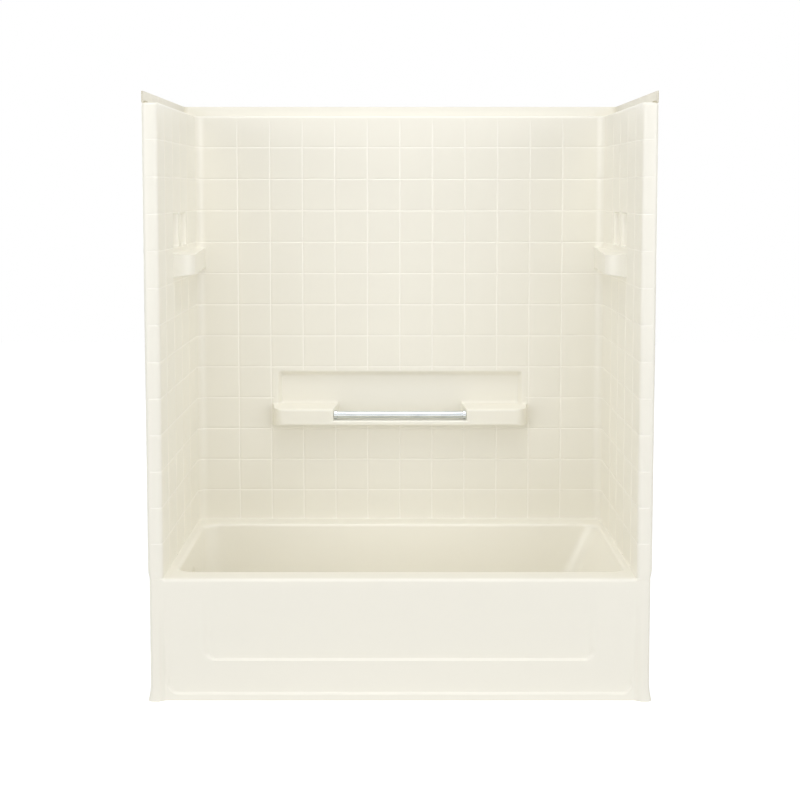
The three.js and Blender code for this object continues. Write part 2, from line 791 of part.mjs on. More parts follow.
function apronBrace(side) {
  const depths = apronRows.map((z) => apronDepthAt(braceFromMiddle, z));
  const frontY = frontPlaneY + Math.max(...depths) + shellThickness + fitGap;
  const [x0, x1] = between(side, braceFromMiddle - braceWidth / 2, braceFromMiddle + braceWidth / 2);
  return box(x0, x1, frontY, frontY + braceDepth, 0, deckHeight - shellThickness - fitGap);
}

function backWallBatten(middleHeight) {
  const halfLength = backPanelHalfWidth - battenEndMargin;
  const y0 = backWallY + shellThickness + fitGap;
  const z0 = middleHeight - battenHeight / 2;
  return box(-halfLength, halfLength, y0, y0 + battenDepth, z0, z0 + battenHeight);
}

function endWallBatten(side) {
  const nearX = wallFaceX + shellThickness + fitGap;
  const [x0, x1] = between(side, nearX, nearX + battenDepth);
  const y0 = frontPlaneY + columnReturn + battenEndMargin;
  const y1 = backWallY - cornerRadius - battenEndMargin;
  const z0 = lowerBattenHeight - battenHeight / 2;
  return box(x0, x1, y0, y1, z0, z0 + battenHeight);
}

// Seals

const sealBottom = deckHeight + fitGap;
const sealTop = sealBottom + sealThickness;

function backDeckSeal() {
  const backY = backWallY + shellThickness + footLipWidth;
  const strip = box(-backPanelHalfWidth, backPanelHalfWidth, backWallY, backY, sealBottom, sealTop);
  return cut(strip, ...lipScrewHoles(backDeckScrews));
}

function endDeckSeal(side) {
  const [x0, x1] = between(side, wallFaceX, footLipX);
  const y0 = frontPlaneY + columnRollRadius;
  const strip = box(x0, x1, y0, backWallY - cornerRadius, sealBottom, sealTop);
  return cut(strip, ...lipScrewHoles(sideDeckScrews(side)));
}

function cornerSeal(side) {
  const [x0, x1] = between(side, seamX - sealThickness / 2, seamX + sealThickness / 2);
  const frontY = backWallY + seamSealSetback;
  const top = wallTopHeight - shellThickness - fitGap;
  return cut(box(x0, x1, frontY, backWallY + lipDepth, panelBottom, top), ...seamScrewHoles(side));
}

// Screws through the panel lips

function seamScrew(side, z) {
  const headX = backPanelHalfWidth - shellThickness - fitGap;
  const tipX = endPanelSeamX + shellThickness + screwTip;
  const centre = [lipMiddleY, z];
  const headSpan = between(side, headX - screwHeadHeight, headX);
  const shankSpan = between(side, headX - screwHeadHeight / 2, tipX);
  const head = rod("x", centre, screwHeadDiameter, ...headSpan, smallSides);
  return head.add(rod("x", centre, screwDiameter, ...shankSpan, smallSides));
}

function deckScrew(place) {
  const headZ = panelBottom + shellThickness + fitGap;
  const tipZ = deckHeight - shellThickness - screwTip;
  const head = rod("z", place, screwHeadDiameter, headZ, headZ + screwHeadHeight, smallSides);
  return head.add(rod("z", place, screwDiameter, tipZ, headZ + screwHeadHeight / 2, smallSides));
}

// Drain

function drainFlange() {
  const seatZ = basinFloorHeight + fitGap;
  const bottom = seatZ - drainBarrelLength;
  const top = seatZ + drainFlangeThickness;
  const body = joined(
    rod("z", drainCentre, drainFlangeDiameter, seatZ, top),
    rod("z", drainCentre, drainBarrelDiameter, bottom, top),
  );
  const bore = rod("z", drainCentre, drainBarrelBore, bottom - cutOverrun, top + cutOverrun);
  const [x, y] = drainCentre;
  const reach = (drainBarrelBore + drainBarrelDiameter) / 4;
  const crossbar = box(
    x - reach,
    x + reach,
    y - crossbarWidth / 2,
    y + crossbarWidth / 2,
    bottom,
    bottom + crossbarThickness,
  );
  const screwBore = rod("z", drainCentre, strainerScrewHole, bottom - cutOverrun, seatZ, smallSides);
  return body.subtract(bore).add(crossbar).subtract(screwBore);
}

const strainerBottom = basinFloorHeight + 2 * fitGap + drainFlangeThickness;
const strainerTop = strainerBottom + strainerThickness;

function drainStrainer() {
  const [x, y] = drainCentre;
  const holes = [...Array(strainerHoleCount).keys()].map((i) => {
    const turn = (2 * Math.PI * i) / strainerHoleCount;
    const place = [x + strainerHoleRing * Math.cos(turn), y + strainerHoleRing * Math.sin(turn)];
    const span = [strainerBottom - cutOverrun, strainerTop + cutOverrun];
    return rod("z", place, strainerHoleDiameter, ...span, smallSides);
  });
  const disc = ring("z", drainCentre, strainerDiameter, strainerScrewHole, strainerBottom, strainerTop);
  return cut(disc, ...holes);
}

function strainerScrew() {
  const headZ = strainerTop + fitGap;
  const tipZ = basinFloorHeight - drainBarrelLength;
  const diameter = strainerScrewHole - 2 * fitGap;
  const head = rod("z", drainCentre, overflowScrewHead, headZ, headZ + screwHeadHeight / 2, smallSides);
  return head.add(rod("z", drainCentre, diameter, tipZ, headZ + screwHeadHeight / 4, smallSides));
}

const gasketTop = basinUnderside - fitGap;
const shoeTop = gasketTop - drainGasketThickness - fitGap;
const shoeEndX = drainX - shoeStubLength;

const drainGasket = () =>
  ring("z", drainCentre, shoeFlangeDiameter, drainHoleDiameter, gasketTop - drainGasketThickness, gasketTop);

function drainShoe() {
  const body = joined(
    rod("z", drainCentre, shoeFlangeDiameter, shoeTop - shoeFlangeThickness, shoeTop),
    rod("z", drainCentre, shoeBodyDiameter, shoeBodyBottom, shoeTop),
    rod("x", wasteAxis, fittingDiameter, shoeEndX, drainX),
  );
  const barrelBottom = basinFloorHeight - drainBarrelLength;
  return cut(
    body,
    rod("z", drainCentre, drainBarrelDiameter + 2 * fitGap, barrelBottom, shoeTop + cutOverrun),
    rod("z", drainCentre, drainBarrelBore, shoeBodyBottom + shoeFlangeThickness, shoeTop),
    rod("x", wasteAxis, tubeBore, shoeEndX - cutOverrun, drainX),
    rod("x", wasteAxis, socketBore, shoeEndX - cutOverrun, shoeEndX + socketDepth),
  );
}

// Waste and overflow pipes

const teeEndX = risePipeX + teeStubLength;
const elbowBottom = overflowHeight - elbowDrop;
const gasketBackX = padBackX - fitGap - overflowGasketThickness;
const elbowFaceX = gasketBackX - fitGap;

const wasteTube = () =>
  ring(
    "x",
    wasteAxis,
    tubeDiameter,
    tubeBore,
    teeEndX - socketDepth + fitGap,
    shoeEndX + socketDepth - fitGap,
  );

const overflowTube = () =>
  ring(
    "z",
    riseAxis,
    tubeDiameter,
    tubeBore,
    teeTop - socketDepth + fitGap,
    elbowBottom + socketDepth - fitGap,
  );

function slipNut(axis, centre, from) {
  const body = rod(axis, centre, nutDiameter, from, from + nutLength, nutSides);
  return body.subtract(rod(axis, centre, socketBore, from - cutOverrun, from + nutLength + cutOverrun));
}

function wasteTee() {
  const body = joined(
    rod("z", riseAxis, fittingDiameter, teeBottom, teeTop),
    rod("x", wasteAxis, fittingDiameter, risePipeX, teeEndX),
  );
  return cut(
    body,
    rod("z", riseAxis, tubeBore, teeSeatHeight, teeTop + cutOverrun),
    rod("z", riseAxis, socketBore, teeTop - socketDepth, teeTop + cutOverrun),
    rod("z", riseAxis, teeSeatBore, teeBottom - cutOverrun, teeSeatHeight + cutOverrun),
    rod("x", wasteAxis, tubeBore, risePipeX, teeEndX + cutOverrun),
    rod("x", wasteAxis, socketBore, teeEndX - socketDepth, teeEndX + cutOverrun),
  );
}

function overflowElbow() {
  const top = overflowHeight + elbowRise;
  const body = joined(
    rod("z", riseAxis, fittingDiameter, elbowBottom, top),
    rod("x", overflowCentre, fittingDiameter, risePipeX, elbowFaceX),
    rod("x", overflowCentre, elbowFlangeDiameter, elbowFaceX - elbowFlangeThickness, elbowFaceX),
  );
  const screwHoles = overflowScrewCentres.map((centre) =>
    rod(
      "x",
      centre,
      overflowScrewDiameter + 2 * fitGap,
      elbowFaceX - elbowFlangeThickness - cutOverrun,
      elbowFaceX + cutOverrun,
      smallSides,
    ),
  );
  return cut(
    body,
    rod("z", riseAxis, tubeBore, elbowBottom - cutOverrun, top - elbowFlangeThickness),
    rod("z", riseAxis, socketBore, elbowBottom - cutOverrun, elbowBottom + socketDepth),
    rod("x", overflowCentre, elbowBore, risePipeX, elbowFaceX + cutOverrun),
    ...screwHoles,
  );
}

const overflowGasket = () =>
  ring("x", overflowCentre, elbowFlangeDiameter, overflowHoleDiameter, gasketBackX, padBackX - fitGap);

// The overflow plate: a dished cover with two ears behind it that carry the lever's pin.
const plateBackX = padFaceX + fitGap;
const plateFrontX = plateBackX + overflowPlateDepth;
const plateWallX = plateFrontX - overflowPlateWall;
const pivotX = padFaceX - leverPivotBehindPlate;
const pivotCentre = [pivotX, overflowHeight];

function overflowPlate() {
  const disc = rod("x", overflowCentre, overflowPlateDiameter, plateBackX, plateFrontX);
  const dish = rod(
    "x",
    overflowCentre,
    overflowPlateDiameter - 2 * overflowPlateWall,
    plateBackX - cutOverrun,
    plateWallX,
  );
  const ear = (side) => {
    const [y0, y1] = between(side, earGap / 2, earGap / 2 + earThickness).map((y) => y + basinMiddleY);
    const backX = pivotX - earHeight / 2;
    return box(backX, plateFrontX, y0, y1, overflowHeight - earHeight / 2, overflowHeight + earHeight / 2);
  };
  const [y, z] = overflowCentre;
  const slot = box(
    plateWallX - cutOverrun,
    plateFrontX + cutOverrun,
    y - slotWidth / 2,
    y + slotWidth / 2,
    z - slotHeight / 2,
    z + slotHeight / 2,
  );
  const pinHole = rod(
    "y",
    pivotCentre,
    pinDiameter + 2 * fitGap,
    basinMiddleY - pinLength,
    basinMiddleY + pinLength,
    smallSides,
  );
  const screwHoles = overflowScrewCentres.map((centre) =>
    rod("x", centre, overflowScrewDiameter + 2 * fitGap, plateBackX, plateFrontX + cutOverrun, smallSides),
  );
  return cut(joined(cut(disc, dish, slot), ear(-1), ear(1)), pinHole, ...screwHoles);
}

function overflowScrew(centre) {
  const headX = plateFrontX + fitGap;
  const head = rod("x", centre, overflowScrewHead, headX, headX + screwHeadHeight / 2, smallSides);
  const tipX = elbowFaceX - elbowFlangeThickness;
  return head.add(rod("x", centre, overflowScrewDiameter, tipX, headX + screwHeadHeight / 4, smallSides));
}

const leverPin = () =>
  rod("y", pivotCentre, pinDiameter, basinMiddleY - pinLength / 2, basinMiddleY + pinLength / 2, smallSides);

// The trip lever about its pivot, drawn level; the assembly tilts it so that its inner end is raised.
function tripLever() {
  const half = leverSection / 2;
  const handleStart = leverHandleReach - leverHandleLength;
  const arm = box(-leverArm - leverTail, leverHandleReach - half, -half, half, -half, half);
  const handle = box(
    handleStart,
    leverHandleReach,
    -leverHandleWidth / 2,
    leverHandleWidth / 2,
    -half,
    half,
  );
  const boss = rod("y", [0, 0], leverBossDiameter, -half, half, smallSides);
  const pinHole = rod("y", [0, 0], pinDiameter + 2 * fitGap, -leverSection, leverSection, smallSides);
  return joined(arm, handle, boss).subtract(pinHole);
}

// Linkage and plunger, raised clear of the seat in the tee

const eyeHeight = overflowHeight + linkageTravel / 2;
const plungerBottom = teeSeatHeight + fitGap + linkageTravel;
const plungerTop = plungerBottom + plungerLength;
const rodSocketDepth = plungerLength / 3;

function linkageRod() {
  const eyeOuter = eyeBore + 2 * eyeWall;
  const eye = ring(
    "x",
    [basinMiddleY, eyeHeight],
    eyeOuter,
    eyeBore,
    risePipeX - eyeDepth / 2,
    risePipeX + eyeDepth / 2,
  );
  const top = eyeHeight - eyeBore / 2 - eyeWall / 2;
  return eye.add(rod("z", riseAxis, rodDiameter, plungerTop - rodSocketDepth + fitGap, top, smallSides));
}

function plunger() {
  const body = rod("z", riseAxis, plungerDiameter, plungerBottom, plungerTop);
  const span = [plungerTop - rodSocketDepth, plungerTop + cutOverrun];
  return body.subtract(rod("z", riseAxis, rodDiameter + 2 * fitGap, ...span, smallSides));
}

// The assembly

add("bath_shell", bathShell(), "biscuitGloss");
add("back_wall_panel", backWallPanel(), "biscuitGloss");
add("left_wall_panel", endWallPanel(-1), "biscuitGloss");
add("right_wall_panel", endWallPanel(1), "biscuitGloss");
add("towel_bar", towelBar(), "chrome");
add("bar_ferrule_left", barFerrule(-1), "chrome");
add("bar_ferrule_right", barFerrule(1), "chrome");
add("floor_board", floorBoard(), "plywood");
add("foot_front_left", supportFoot(-1, -1), "blackPlastic");
add("foot_front_right", supportFoot(1, -1), "blackPlastic");
add("foot_back_left", supportFoot(-1, 1), "blackPlastic");
add("foot_back_right", supportFoot(1, 1), "blackPlastic");
add("apron_brace_left", apronBrace(-1), "plywood");
add("apron_brace_right", apronBrace(1), "plywood");
add("back_batten_lower", backWallBatten(lowerBattenHeight), "plywood");
add("back_batten_upper", backWallBatten(upperBattenHeight), "plywood");
add("left_batten", endWallBatten(-1), "plywood");
add("right_batten", endWallBatten(1), "plywood");
add("deck_seal_back", backDeckSeal(), "sealFoam");
add("deck_seal_left", endDeckSeal(-1), "sealFoam");
add("deck_seal_right", endDeckSeal(1), "sealFoam");
add("corner_seal_left", cornerSeal(-1), "sealFoam");
add("corner_seal_right", cornerSeal(1), "sealFoam");
cornerScrewHeights.forEach((z, i) => {
  add(`seam_screw_left_${i + 1}`, seamScrew(-1, z), "steel");
  add(`seam_screw_right_${i + 1}`, seamScrew(1, z), "steel");
});
deckScrewPlaces.forEach((place, i) => add(`deck_screw_${i + 1}`, deckScrew(place), "steel"));
add("drain_flange", drainFlange(), "chrome");
add("drain_strainer", drainStrainer(), "chrome");
add("strainer_screw", strainerScrew(), "chrome");
add("drain_gasket", drainGasket(), "rubber");
add("drain_shoe", drainShoe(), "brass");
add("waste_tube", wasteTube(), "brass");
add("waste_tee", wasteTee(), "brass");
add("overflow_tube", overflowTube(), "brass");
add("overflow_elbow", overflowElbow(), "brass");
add("shoe_nut", slipNut("x", wasteAxis, shoeEndX - fitGap - nutLength), "brass");
add("tee_side_nut", slipNut("x", wasteAxis, teeEndX + fitGap), "brass");
add("tee_top_nut", slipNut("z", riseAxis, teeTop + fitGap), "brass");
add("elbow_nut", slipNut("z", riseAxis, elbowBottom - fitGap - nutLength), "brass");
add("overflow_gasket", overflowGasket(), "rubber");
add("overflow_plate", overflowPlate(), "biscuitSatin");
overflowScrewCentres.forEach((centre, i) => add(`overflow_screw_${i + 1}`, overflowScrew(centre), "chrome"));
const lever = add("trip_lever", tripLever(), "biscuitSatin");
lever.position.set(pivotX, basinMiddleY, overflowHeight);
lever.rotation.y = THREE.MathUtils.degToRad(leverThrowDegrees / 2);
add("lever_pin", leverPin(), "brass");
add("linkage_rod", linkageRod(), "brass");
add("plunger", plunger(), "brass");

export default surround;
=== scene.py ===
"""Alcove bath with a three-wall shower surround, dressed for display.

The sizes in the dataclasses are in millimetres, as on a workshop drawing, and a mesh
turns them into metres when it is made. X runs to the right, Y to the back and Z up, and
the origin lies on the floor at the middle of the footprint.
"""

import logging
import math
from dataclasses import dataclass, field
from enum import Enum

import bpy
import numpy as np
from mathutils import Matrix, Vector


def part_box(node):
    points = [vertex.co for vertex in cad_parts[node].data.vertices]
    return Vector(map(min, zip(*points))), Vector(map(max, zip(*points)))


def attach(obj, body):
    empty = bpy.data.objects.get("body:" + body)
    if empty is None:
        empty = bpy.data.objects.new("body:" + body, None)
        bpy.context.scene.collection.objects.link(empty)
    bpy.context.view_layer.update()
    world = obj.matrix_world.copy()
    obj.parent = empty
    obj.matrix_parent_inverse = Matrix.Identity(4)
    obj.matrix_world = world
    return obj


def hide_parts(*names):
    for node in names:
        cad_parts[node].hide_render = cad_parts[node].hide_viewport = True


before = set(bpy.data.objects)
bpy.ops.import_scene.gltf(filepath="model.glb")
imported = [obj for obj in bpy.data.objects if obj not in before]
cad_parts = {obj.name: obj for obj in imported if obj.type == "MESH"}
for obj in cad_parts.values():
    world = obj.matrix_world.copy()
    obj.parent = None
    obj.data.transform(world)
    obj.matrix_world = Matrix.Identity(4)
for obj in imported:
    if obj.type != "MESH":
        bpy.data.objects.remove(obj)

Array = np.ndarray
Colour = tuple[int, int, int]
Place = tuple[float, float]
Point = tuple[float, float, float]
Socket = bpy.types.NodeSocket
Material = bpy.types.Material

MM = 0.001
WELD = 0.004

log = logging.getLogger("surround")


class Body(str, Enum):
    """The moving bodies of the frame."""

    ROOT = "root"
    LEVER = "lever"
    LINKAGE = "linkage"


class Slot(str, Enum):
    """The names of the material slots."""

    MOULDING = "moulding"
    TRIM = "trim"
    CHROME = "chrome"
    BRASS = "brass"
    STEEL = "steel"
    FOOT = "foot"
    RUBBER = "rubber"
    SEAL = "seal"
    BOARD = "board"


class Axis(Enum):
    """The direction that a turned or extruded piece points in."""

    X = "x"
    Y = "y"
    Z = "z"

    def turned(self, points: Array) -> Array:
        """Points drawn along Z, turned so that they lie along this axis.

        Args:
            points: Points drawn along Z.

        Returns:
            The turned points.
        """
        u, v, h = points[..., 0], points[..., 1], points[..., 2]
        order = {"x": (h, u, v), "y": (u, h, v), "z": (u, v, h)}
        return np.stack(order[self.value], axis=-1)


# Drawing helpers


def blend(start: Array | float, end: Array | float, share: Array | float) -> Array:
    """The value between two others at a share of the way."""
    return start + (end - start) * share


def smooth_step(value: Array | float, low: float, high: float) -> Array:
    """0 below low and 1 above high, with a soft turn at both ends."""
    share = np.clip((np.asarray(value, float) - low) / (high - low), 0.0, 1.0)
    return share * share * (3.0 - 2.0 * share)


def smooth_min(first: Array, second: Array, width: float) -> Array:
    """The smaller of two surfaces, with their meeting line rounded.

    Args:
        first: Heights of one surface.
        second: Heights of the other surface.
        width: How far apart they may be and still be blended.

    Returns:
        The blended heights.
    """
    share = np.clip(0.5 + 0.5 * (second - first) / width, 0.0, 1.0)
    return blend(second, first, share) - width * share * (1.0 - share)


def arc(centre: Place, radius: float, start: float, end: float, steps: int) -> list[Place]:
    """Points on an arc, both ends included.

    Args:
        centre: Middle of the circle.
        radius: Radius in millimetres.
        start: First angle in degrees.
        end: Last angle in degrees.
        steps: Number of pieces that the arc is drawn in.

    Returns:
        The points in order.
    """
    return [tuple(place) for place in bend(centre, radius, start, end, steps + 1)[0].tolist()]


def turns_between(start: float, end: float, count: int) -> Array:
    """A number of even turns from start to end in degrees, given in radians."""
    return np.radians(np.linspace(start, end, count))


def bend(centre: Place, radius: float, start: float, end: float,
         count: int) -> tuple[Array, Array]:
    """A number of points on an arc, with the direction from its middle to each.

    Args:
        centre: Middle of the circle.
        radius: Radius in millimetres.
        start: First angle in degrees.
        end: Last angle in degrees.
        count: Number of points, both ends included.

    Returns:
        The points and the directions, one in each row.
    """
    turns = turns_between(start, end, count)
    rays = np.array([(math.cos(t), math.sin(t)) for t in turns])
    return np.array(centre) + radius * rays, rays


def at_x(x: float, places: Array | list[float]) -> Array:
    """Places along Y, each with its X put before it."""
    return np.column_stack([np.full(len(places), x), places])


def at_height(places: Array, height: Array | float) -> Array:
    """Places in plan, each with its height added."""
    return np.column_stack([places, np.broadcast_to(height, len(places))])


def rounded_line(corners: list[Point], steps: int = 6) -> Array:
    """An open line whose inner corners are rounded.

    Args:
        corners: Place and radius of each corner; the radius of both ends is not used.
        steps: Pieces in each rounding.

    Returns:
        The points of the line, one in each row.
    """
    places = np.array([corner[:2] for corner in corners], float)
    points = [places[0]]
    for i in range(1, len(places) - 1):
        to_last, to_next = places[i - 1] - places[i], places[i + 1] - places[i]
        reach = min(np.linalg.norm(to_last), np.linalg.norm(to_next)) * 0.48
        to_last, to_next = to_last / np.linalg.norm(to_last), to_next / np.linalg.norm(to_next)
        half = math.acos(float(np.clip(to_last @ to_next, -1.0, 1.0))) / 2
        cut = min(corners[i][2] / math.tan(half), reach) if half < math.pi / 2 - 1e-4 else 0.0
        if cut <= 0.0:
            points.append(places[i])
            continue
        radius = cut * math.tan(half)
        middle = (to_last + to_next) / np.linalg.norm(to_last + to_next)
        centre = places[i] + middle * radius / math.sin(half)
        first, last = places[i] + to_last * cut - centre, places[i] + to_next * cut - centre
        for share in np.linspace(0.0, 1.0, steps + 1):
            spoke = blend(first, last, share)
            points.append(centre + spoke / np.linalg.norm(spoke) * radius)
    points.append(places[-1])
    return np.array(points)


def height_at(line: Array, places: Array) -> Array:
    """The second coordinate of a line at places along its first coordinate."""
    order = np.argsort(line[:, 0], kind="stable")
    return np.interp(places, line[order, 0], line[order, 1])


def rounded_rectangle(x0: float, x1: float, y0: float, y1: float, radius: float,
                      steps: int) -> Array:
    """A closed outline with four round corners, anticlockwise.

    Args:
        x0: Lowest X.
        x1: Highest X.
        y0: Lowest Y.
        y1: Highest Y.
        radius: Radius of the corners.
        steps: Pieces in each rounding.

    Returns:
        The points in order.
    """
    left, right, low, high = x0 + radius, x1 - radius, y0 + radius, y1 - radius
    middles = ((right, low), (right, high), (left, high), (left, low))
    return np.array([point for i, middle in enumerate(middles)
                     for point in arc(middle, radius, 90 * i - 90, 90 * i, steps)])


def lines(*groups: Array | list[float], gap: float = 0.45) -> Array:
    """All places of several groups in rising order, none closer than the gap.

    Args:
        groups: The places, group by group.
        gap: The smallest distance between two places.

    Returns:
        The places in rising order.
    """
    places = np.sort(np.concatenate([np.asarray(group, float) for group in groups]))
    kept = [places[0]]
    for place in places[1:]:
        if place - kept[-1] >= gap:
            kept.append(place)
    return np.array(kept)


def steps_between(start: float, end: float, pitch: float) -> Array:
    """Even steps from start to end, about a pitch apart."""
    count = max(1, round(abs(end - start) / pitch))
    return np.linspace(start, end, count + 1)


def around(place: float, before: float, after: float, count: int) -> Array:
    """Even places from a distance before one place to a distance after it."""
    return np.linspace(place - before, place + after, count)


def mirrored(places: Array | list[float]) -> Array:
    """The places and their mirror images."""
    side = np.asarray(places, float)
    return np.concatenate([-side, side])


# Closed forms


@dataclass
class Form:
    """Points and four-cornered faces of one closed form, with values marked on its points."""

    points: Array
    faces: Array
    marks: dict[str, Array] = field(default_factory=dict)

    def flipped(self) -> "Form":
        """The mirror image on the other side of the middle."""
        marks = {name: -values if name == "into_x" else values
                 for name, values in self.marks.items()}
        return Form(self.points * np.array([-1.0, 1.0, 1.0]), self.faces[:, ::-1], marks)

    def backed(self) -> "Form":
        """The same form, marked all over as the sheet's rough back."""
        return Form(self.points, self.faces, {"backing": np.ones(len(self.points))})

    def welded(self) -> "Form":
        """The form with shared corners merged and its faces turned outwards.

        Returns:
            The merged form.
        """
        keys = np.round(self.points / WELD).astype(np.int64)
        _, first, index = np.unique(keys, axis=0, return_index=True, return_inverse=True)
        points, faces = self.points[first], index.reshape(-1)[self.faces]
        marks = {name: values[first] for name, values in self.marks.items()}
        corners = points[faces]
        lower = np.cross(corners[:, 1], corners[:, 2])
        upper = np.cross(corners[:, 2], corners[:, 3])
        volume = float((corners[:, 0] * (lower + upper)).sum())
        return Form(points, faces if volume > 0 else faces[:, ::-1], marks)


def sheet(face: Array, back: Array, closed: bool = False, hole: Array | None = None) -> Form:
    """A moulded sheet between the points of its face and those of its back.

    Args:
        face: Grid of points, columns by rows.
        back: Grid of the same layout behind it.
        closed: True if the last column meets the first.
        hole: Cells that are cut out, columns by rows, or None.

    Returns:
        A closed form with the mark backing, 0 on its face and 1 on its back.
    """
    columns, rows = face.shape[:2]
    across = columns if closed else columns - 1
    keep = np.ones((across, rows - 1), bool) if hole is None else ~hole
    index = np.arange(columns * rows).reshape(columns, rows)
    following = np.roll(index, -1, axis=0)
    a, b = index[:across, :-1], following[:across, :-1]
    c, d = following[:across, 1:], index[:across, 1:]
    behind = columns * rows
    below = np.pad(keep, ((0, 0), (1, 0)))[:, :-1]
    above = np.pad(keep, ((0, 0), (0, 1)))[:, 1:]
    if closed:
        left, right = np.roll(keep, 1, axis=0), np.roll(keep, -1, axis=0)
    else:
        left = np.pad(keep, ((1, 0), (0, 0)))[:-1]
        right = np.pad(keep, ((0, 1), (0, 0)))[1:]
    quads = [np.stack([a, b, c, d], -1)[keep], np.stack([d, c, b, a], -1)[keep] + behind]
    for start, end, neighbour in ((a, b, below), (b, c, right), (c, d, above), (d, a, left)):
        edge = keep & ~neighbour
        quads.append(np.stack([end, start, start + behind, end + behind], -1)[edge])
    points = np.concatenate([face.reshape(-1, 3), back.reshape(-1, 3)])
    backing = np.concatenate([np.zeros(behind), np.ones(behind)])
    return Form(points, np.concatenate(quads), {"backing": backing})


def grid_normals(grid: Array) -> Array:
    """Unit normals of a grid of points, on the side from which columns run right and rows up.

    Args:
        grid: The points, columns by rows.

    Returns:
        One unit normal for each point.
    """
    across = np.gradient(grid, axis=0)
    along = np.gradient(grid, axis=1)
    normals = np.cross(across, along)
    length = np.linalg.norm(normals, axis=-1)
    for column in range(1, len(grid)):
        flat = length[column] < 1e-6
        normals[column][flat] = normals[column - 1][flat]
        length[column][flat] = length[column - 1][flat]
    return normals / np.maximum(length, 1e-9)[..., None]


def turned(outline: list[Place] | Array, axis: Axis, centre: Point,
           ring: bool = False, steps: int = 48) -> Form:
    """A piece turned on a lathe.

    Args:
        outline: Radius and height of each point of the section, in order.
        axis: The direction of its axis.
        centre: The place of height zero on the axis.
        ring: True if the section is a closed loop; otherwise its ends meet the axis.
        steps: Number of facets round the axis.

    Returns:
        The closed form.
    """
    section = np.asarray(outline, float)
    turns = np.linspace(0.0, 2.0 * math.pi, steps, endpoint=False)
    radius, height = section[:, 0], section[:, 1]
    local = np.stack(
        [np.outer(np.cos(turns), radius), np.outer(np.sin(turns), radius),
         np.tile(height, (steps, 1))], axis=-1)
    index = np.arange(steps * len(section)).reshape(steps, -1)
    following = np.roll(index, -1, axis=0)
    up, up_following = np.roll(index, -1, axis=1), np.roll(following, -1, axis=1)
    faces = np.stack([index, following, up_following, up], -1)
    faces = faces if ring else faces[:, :-1]
    return Form(axis.turned(local).reshape(-1, 3) + np.array(centre), faces.reshape(-1, 4))


def stacked(rings: list[Array]) -> Form:
    """A form lofted through closed rings of points, with its two ends closed.

    Args:
        rings: The rings of points, from one end to the other.

    Returns:
        The closed form.
    """
    levels = np.array(rings)
    count, around = levels.shape[:2]
    index = np.arange(count * around).reshape(count, around)
    following = np.roll(index, -1, axis=1)
    sides = np.stack([index[:-1], following[:-1], following[1:], index[1:]], -1).reshape(-1, 4)
    low, high = count * around, count * around + 1
    ends = [np.stack([following[0], index[0], np.full(around, low), np.full(around, low)], -1),
            np.stack([index[-1], following[-1], np.full(around, high), np.full(around, high)], -1)]
    middles = [levels[0].mean(axis=0), levels[-1].mean(axis=0)]
    return Form(np.concatenate([levels.reshape(-1, 3), middles]), np.concatenate([sides, *ends]))


def block(x: Place, y: Place, z: Place, bevel: float, steps: int = 2) -> Form:
    """A rectangular piece whose edges are all rounded.

    Args:
        x: Lowest and highest X.
        y: Lowest and highest Y.
        z: Lowest and highest Z.
        bevel: Radius of the edges.
        steps: Pieces in each rounding.

    Returns:
        The closed form.
    """
    levels = []
    for turn in turns_between(-90, 0, steps + 1):
        levels.append((bevel * (1 - math.cos(turn)), z[0] + bevel * (1 + math.sin(turn))))
    for turn in turns_between(0, 90, steps + 1):
        levels.append((bevel * (1 - math.cos(turn)), z[1] - bevel * (1 - math.sin(turn))))
    rings = []
    for inset, height in levels:
        outline = rounded_rectangle(x[0] + inset, x[1] - inset, y[0] + inset, y[1] - inset,
                                    max(bevel - inset, bevel * 0.15), steps)
        rings.append(at_height(outline, height))
    return stacked(rings)


def rod_section(radius: float, start: float, end: float, edge: float, steps: int = 3) -> Array:
    """The section of a solid round bar with eased ends, for turning.

    Args:
        radius: Radius of the bar.
        start: Height of its lower end.
        end: Height of its upper end.
        edge: Radius of its eased ends.
        steps: Pieces in each rounding.

    Returns:
        The points in order.
    """
    return np.array([
        (0.0, start),
        *arc((radius - edge, start + edge), edge, -90, 0, steps),
        *arc((radius - edge, end - edge), edge, 0, 90, steps),
        (0.0, end),
    ])


def tube_section(outer: float, inner: float, start: float, end: float, edge: float,
                 steps: int = 3) -> Array:
    """The section of a tube or ring with eased ends, as a closed loop for turning."""
    return rounded_rectangle(inner, outer, start, end, min(edge, (outer - inner) * 0.48), steps)


def lathed(corners: list[Point], axis: Axis, centre: Point, fine: int = 4, ring: bool = False,
           steps: int = 64) -> Form:
    """A piece turned from the rounded corners of its section."""
    return turned(rounded_line(corners, steps=fine), axis, centre, ring, steps)


def pipe(radii: Place, ends: Place, edge: float, axis: Axis, centre: Point,
         steps: int = 64) -> Form:
    """A turned tube or ring, given its outer and inner radius."""
    return turned(tube_section(*radii, *ends, edge), axis, centre, ring=True, steps=steps)


# Meshes and trees


def new_object(name: str, data: bpy.types.ID) -> bpy.types.Object:
    """Links an object that holds a mesh, a lamp or a camera.

    Args:
        name: The object's name.
        data: What it holds.

    Returns:
        The linked object.
    """
    made = bpy.data.objects.new(name, data)
    bpy.context.scene.collection.objects.link(made)
    return made


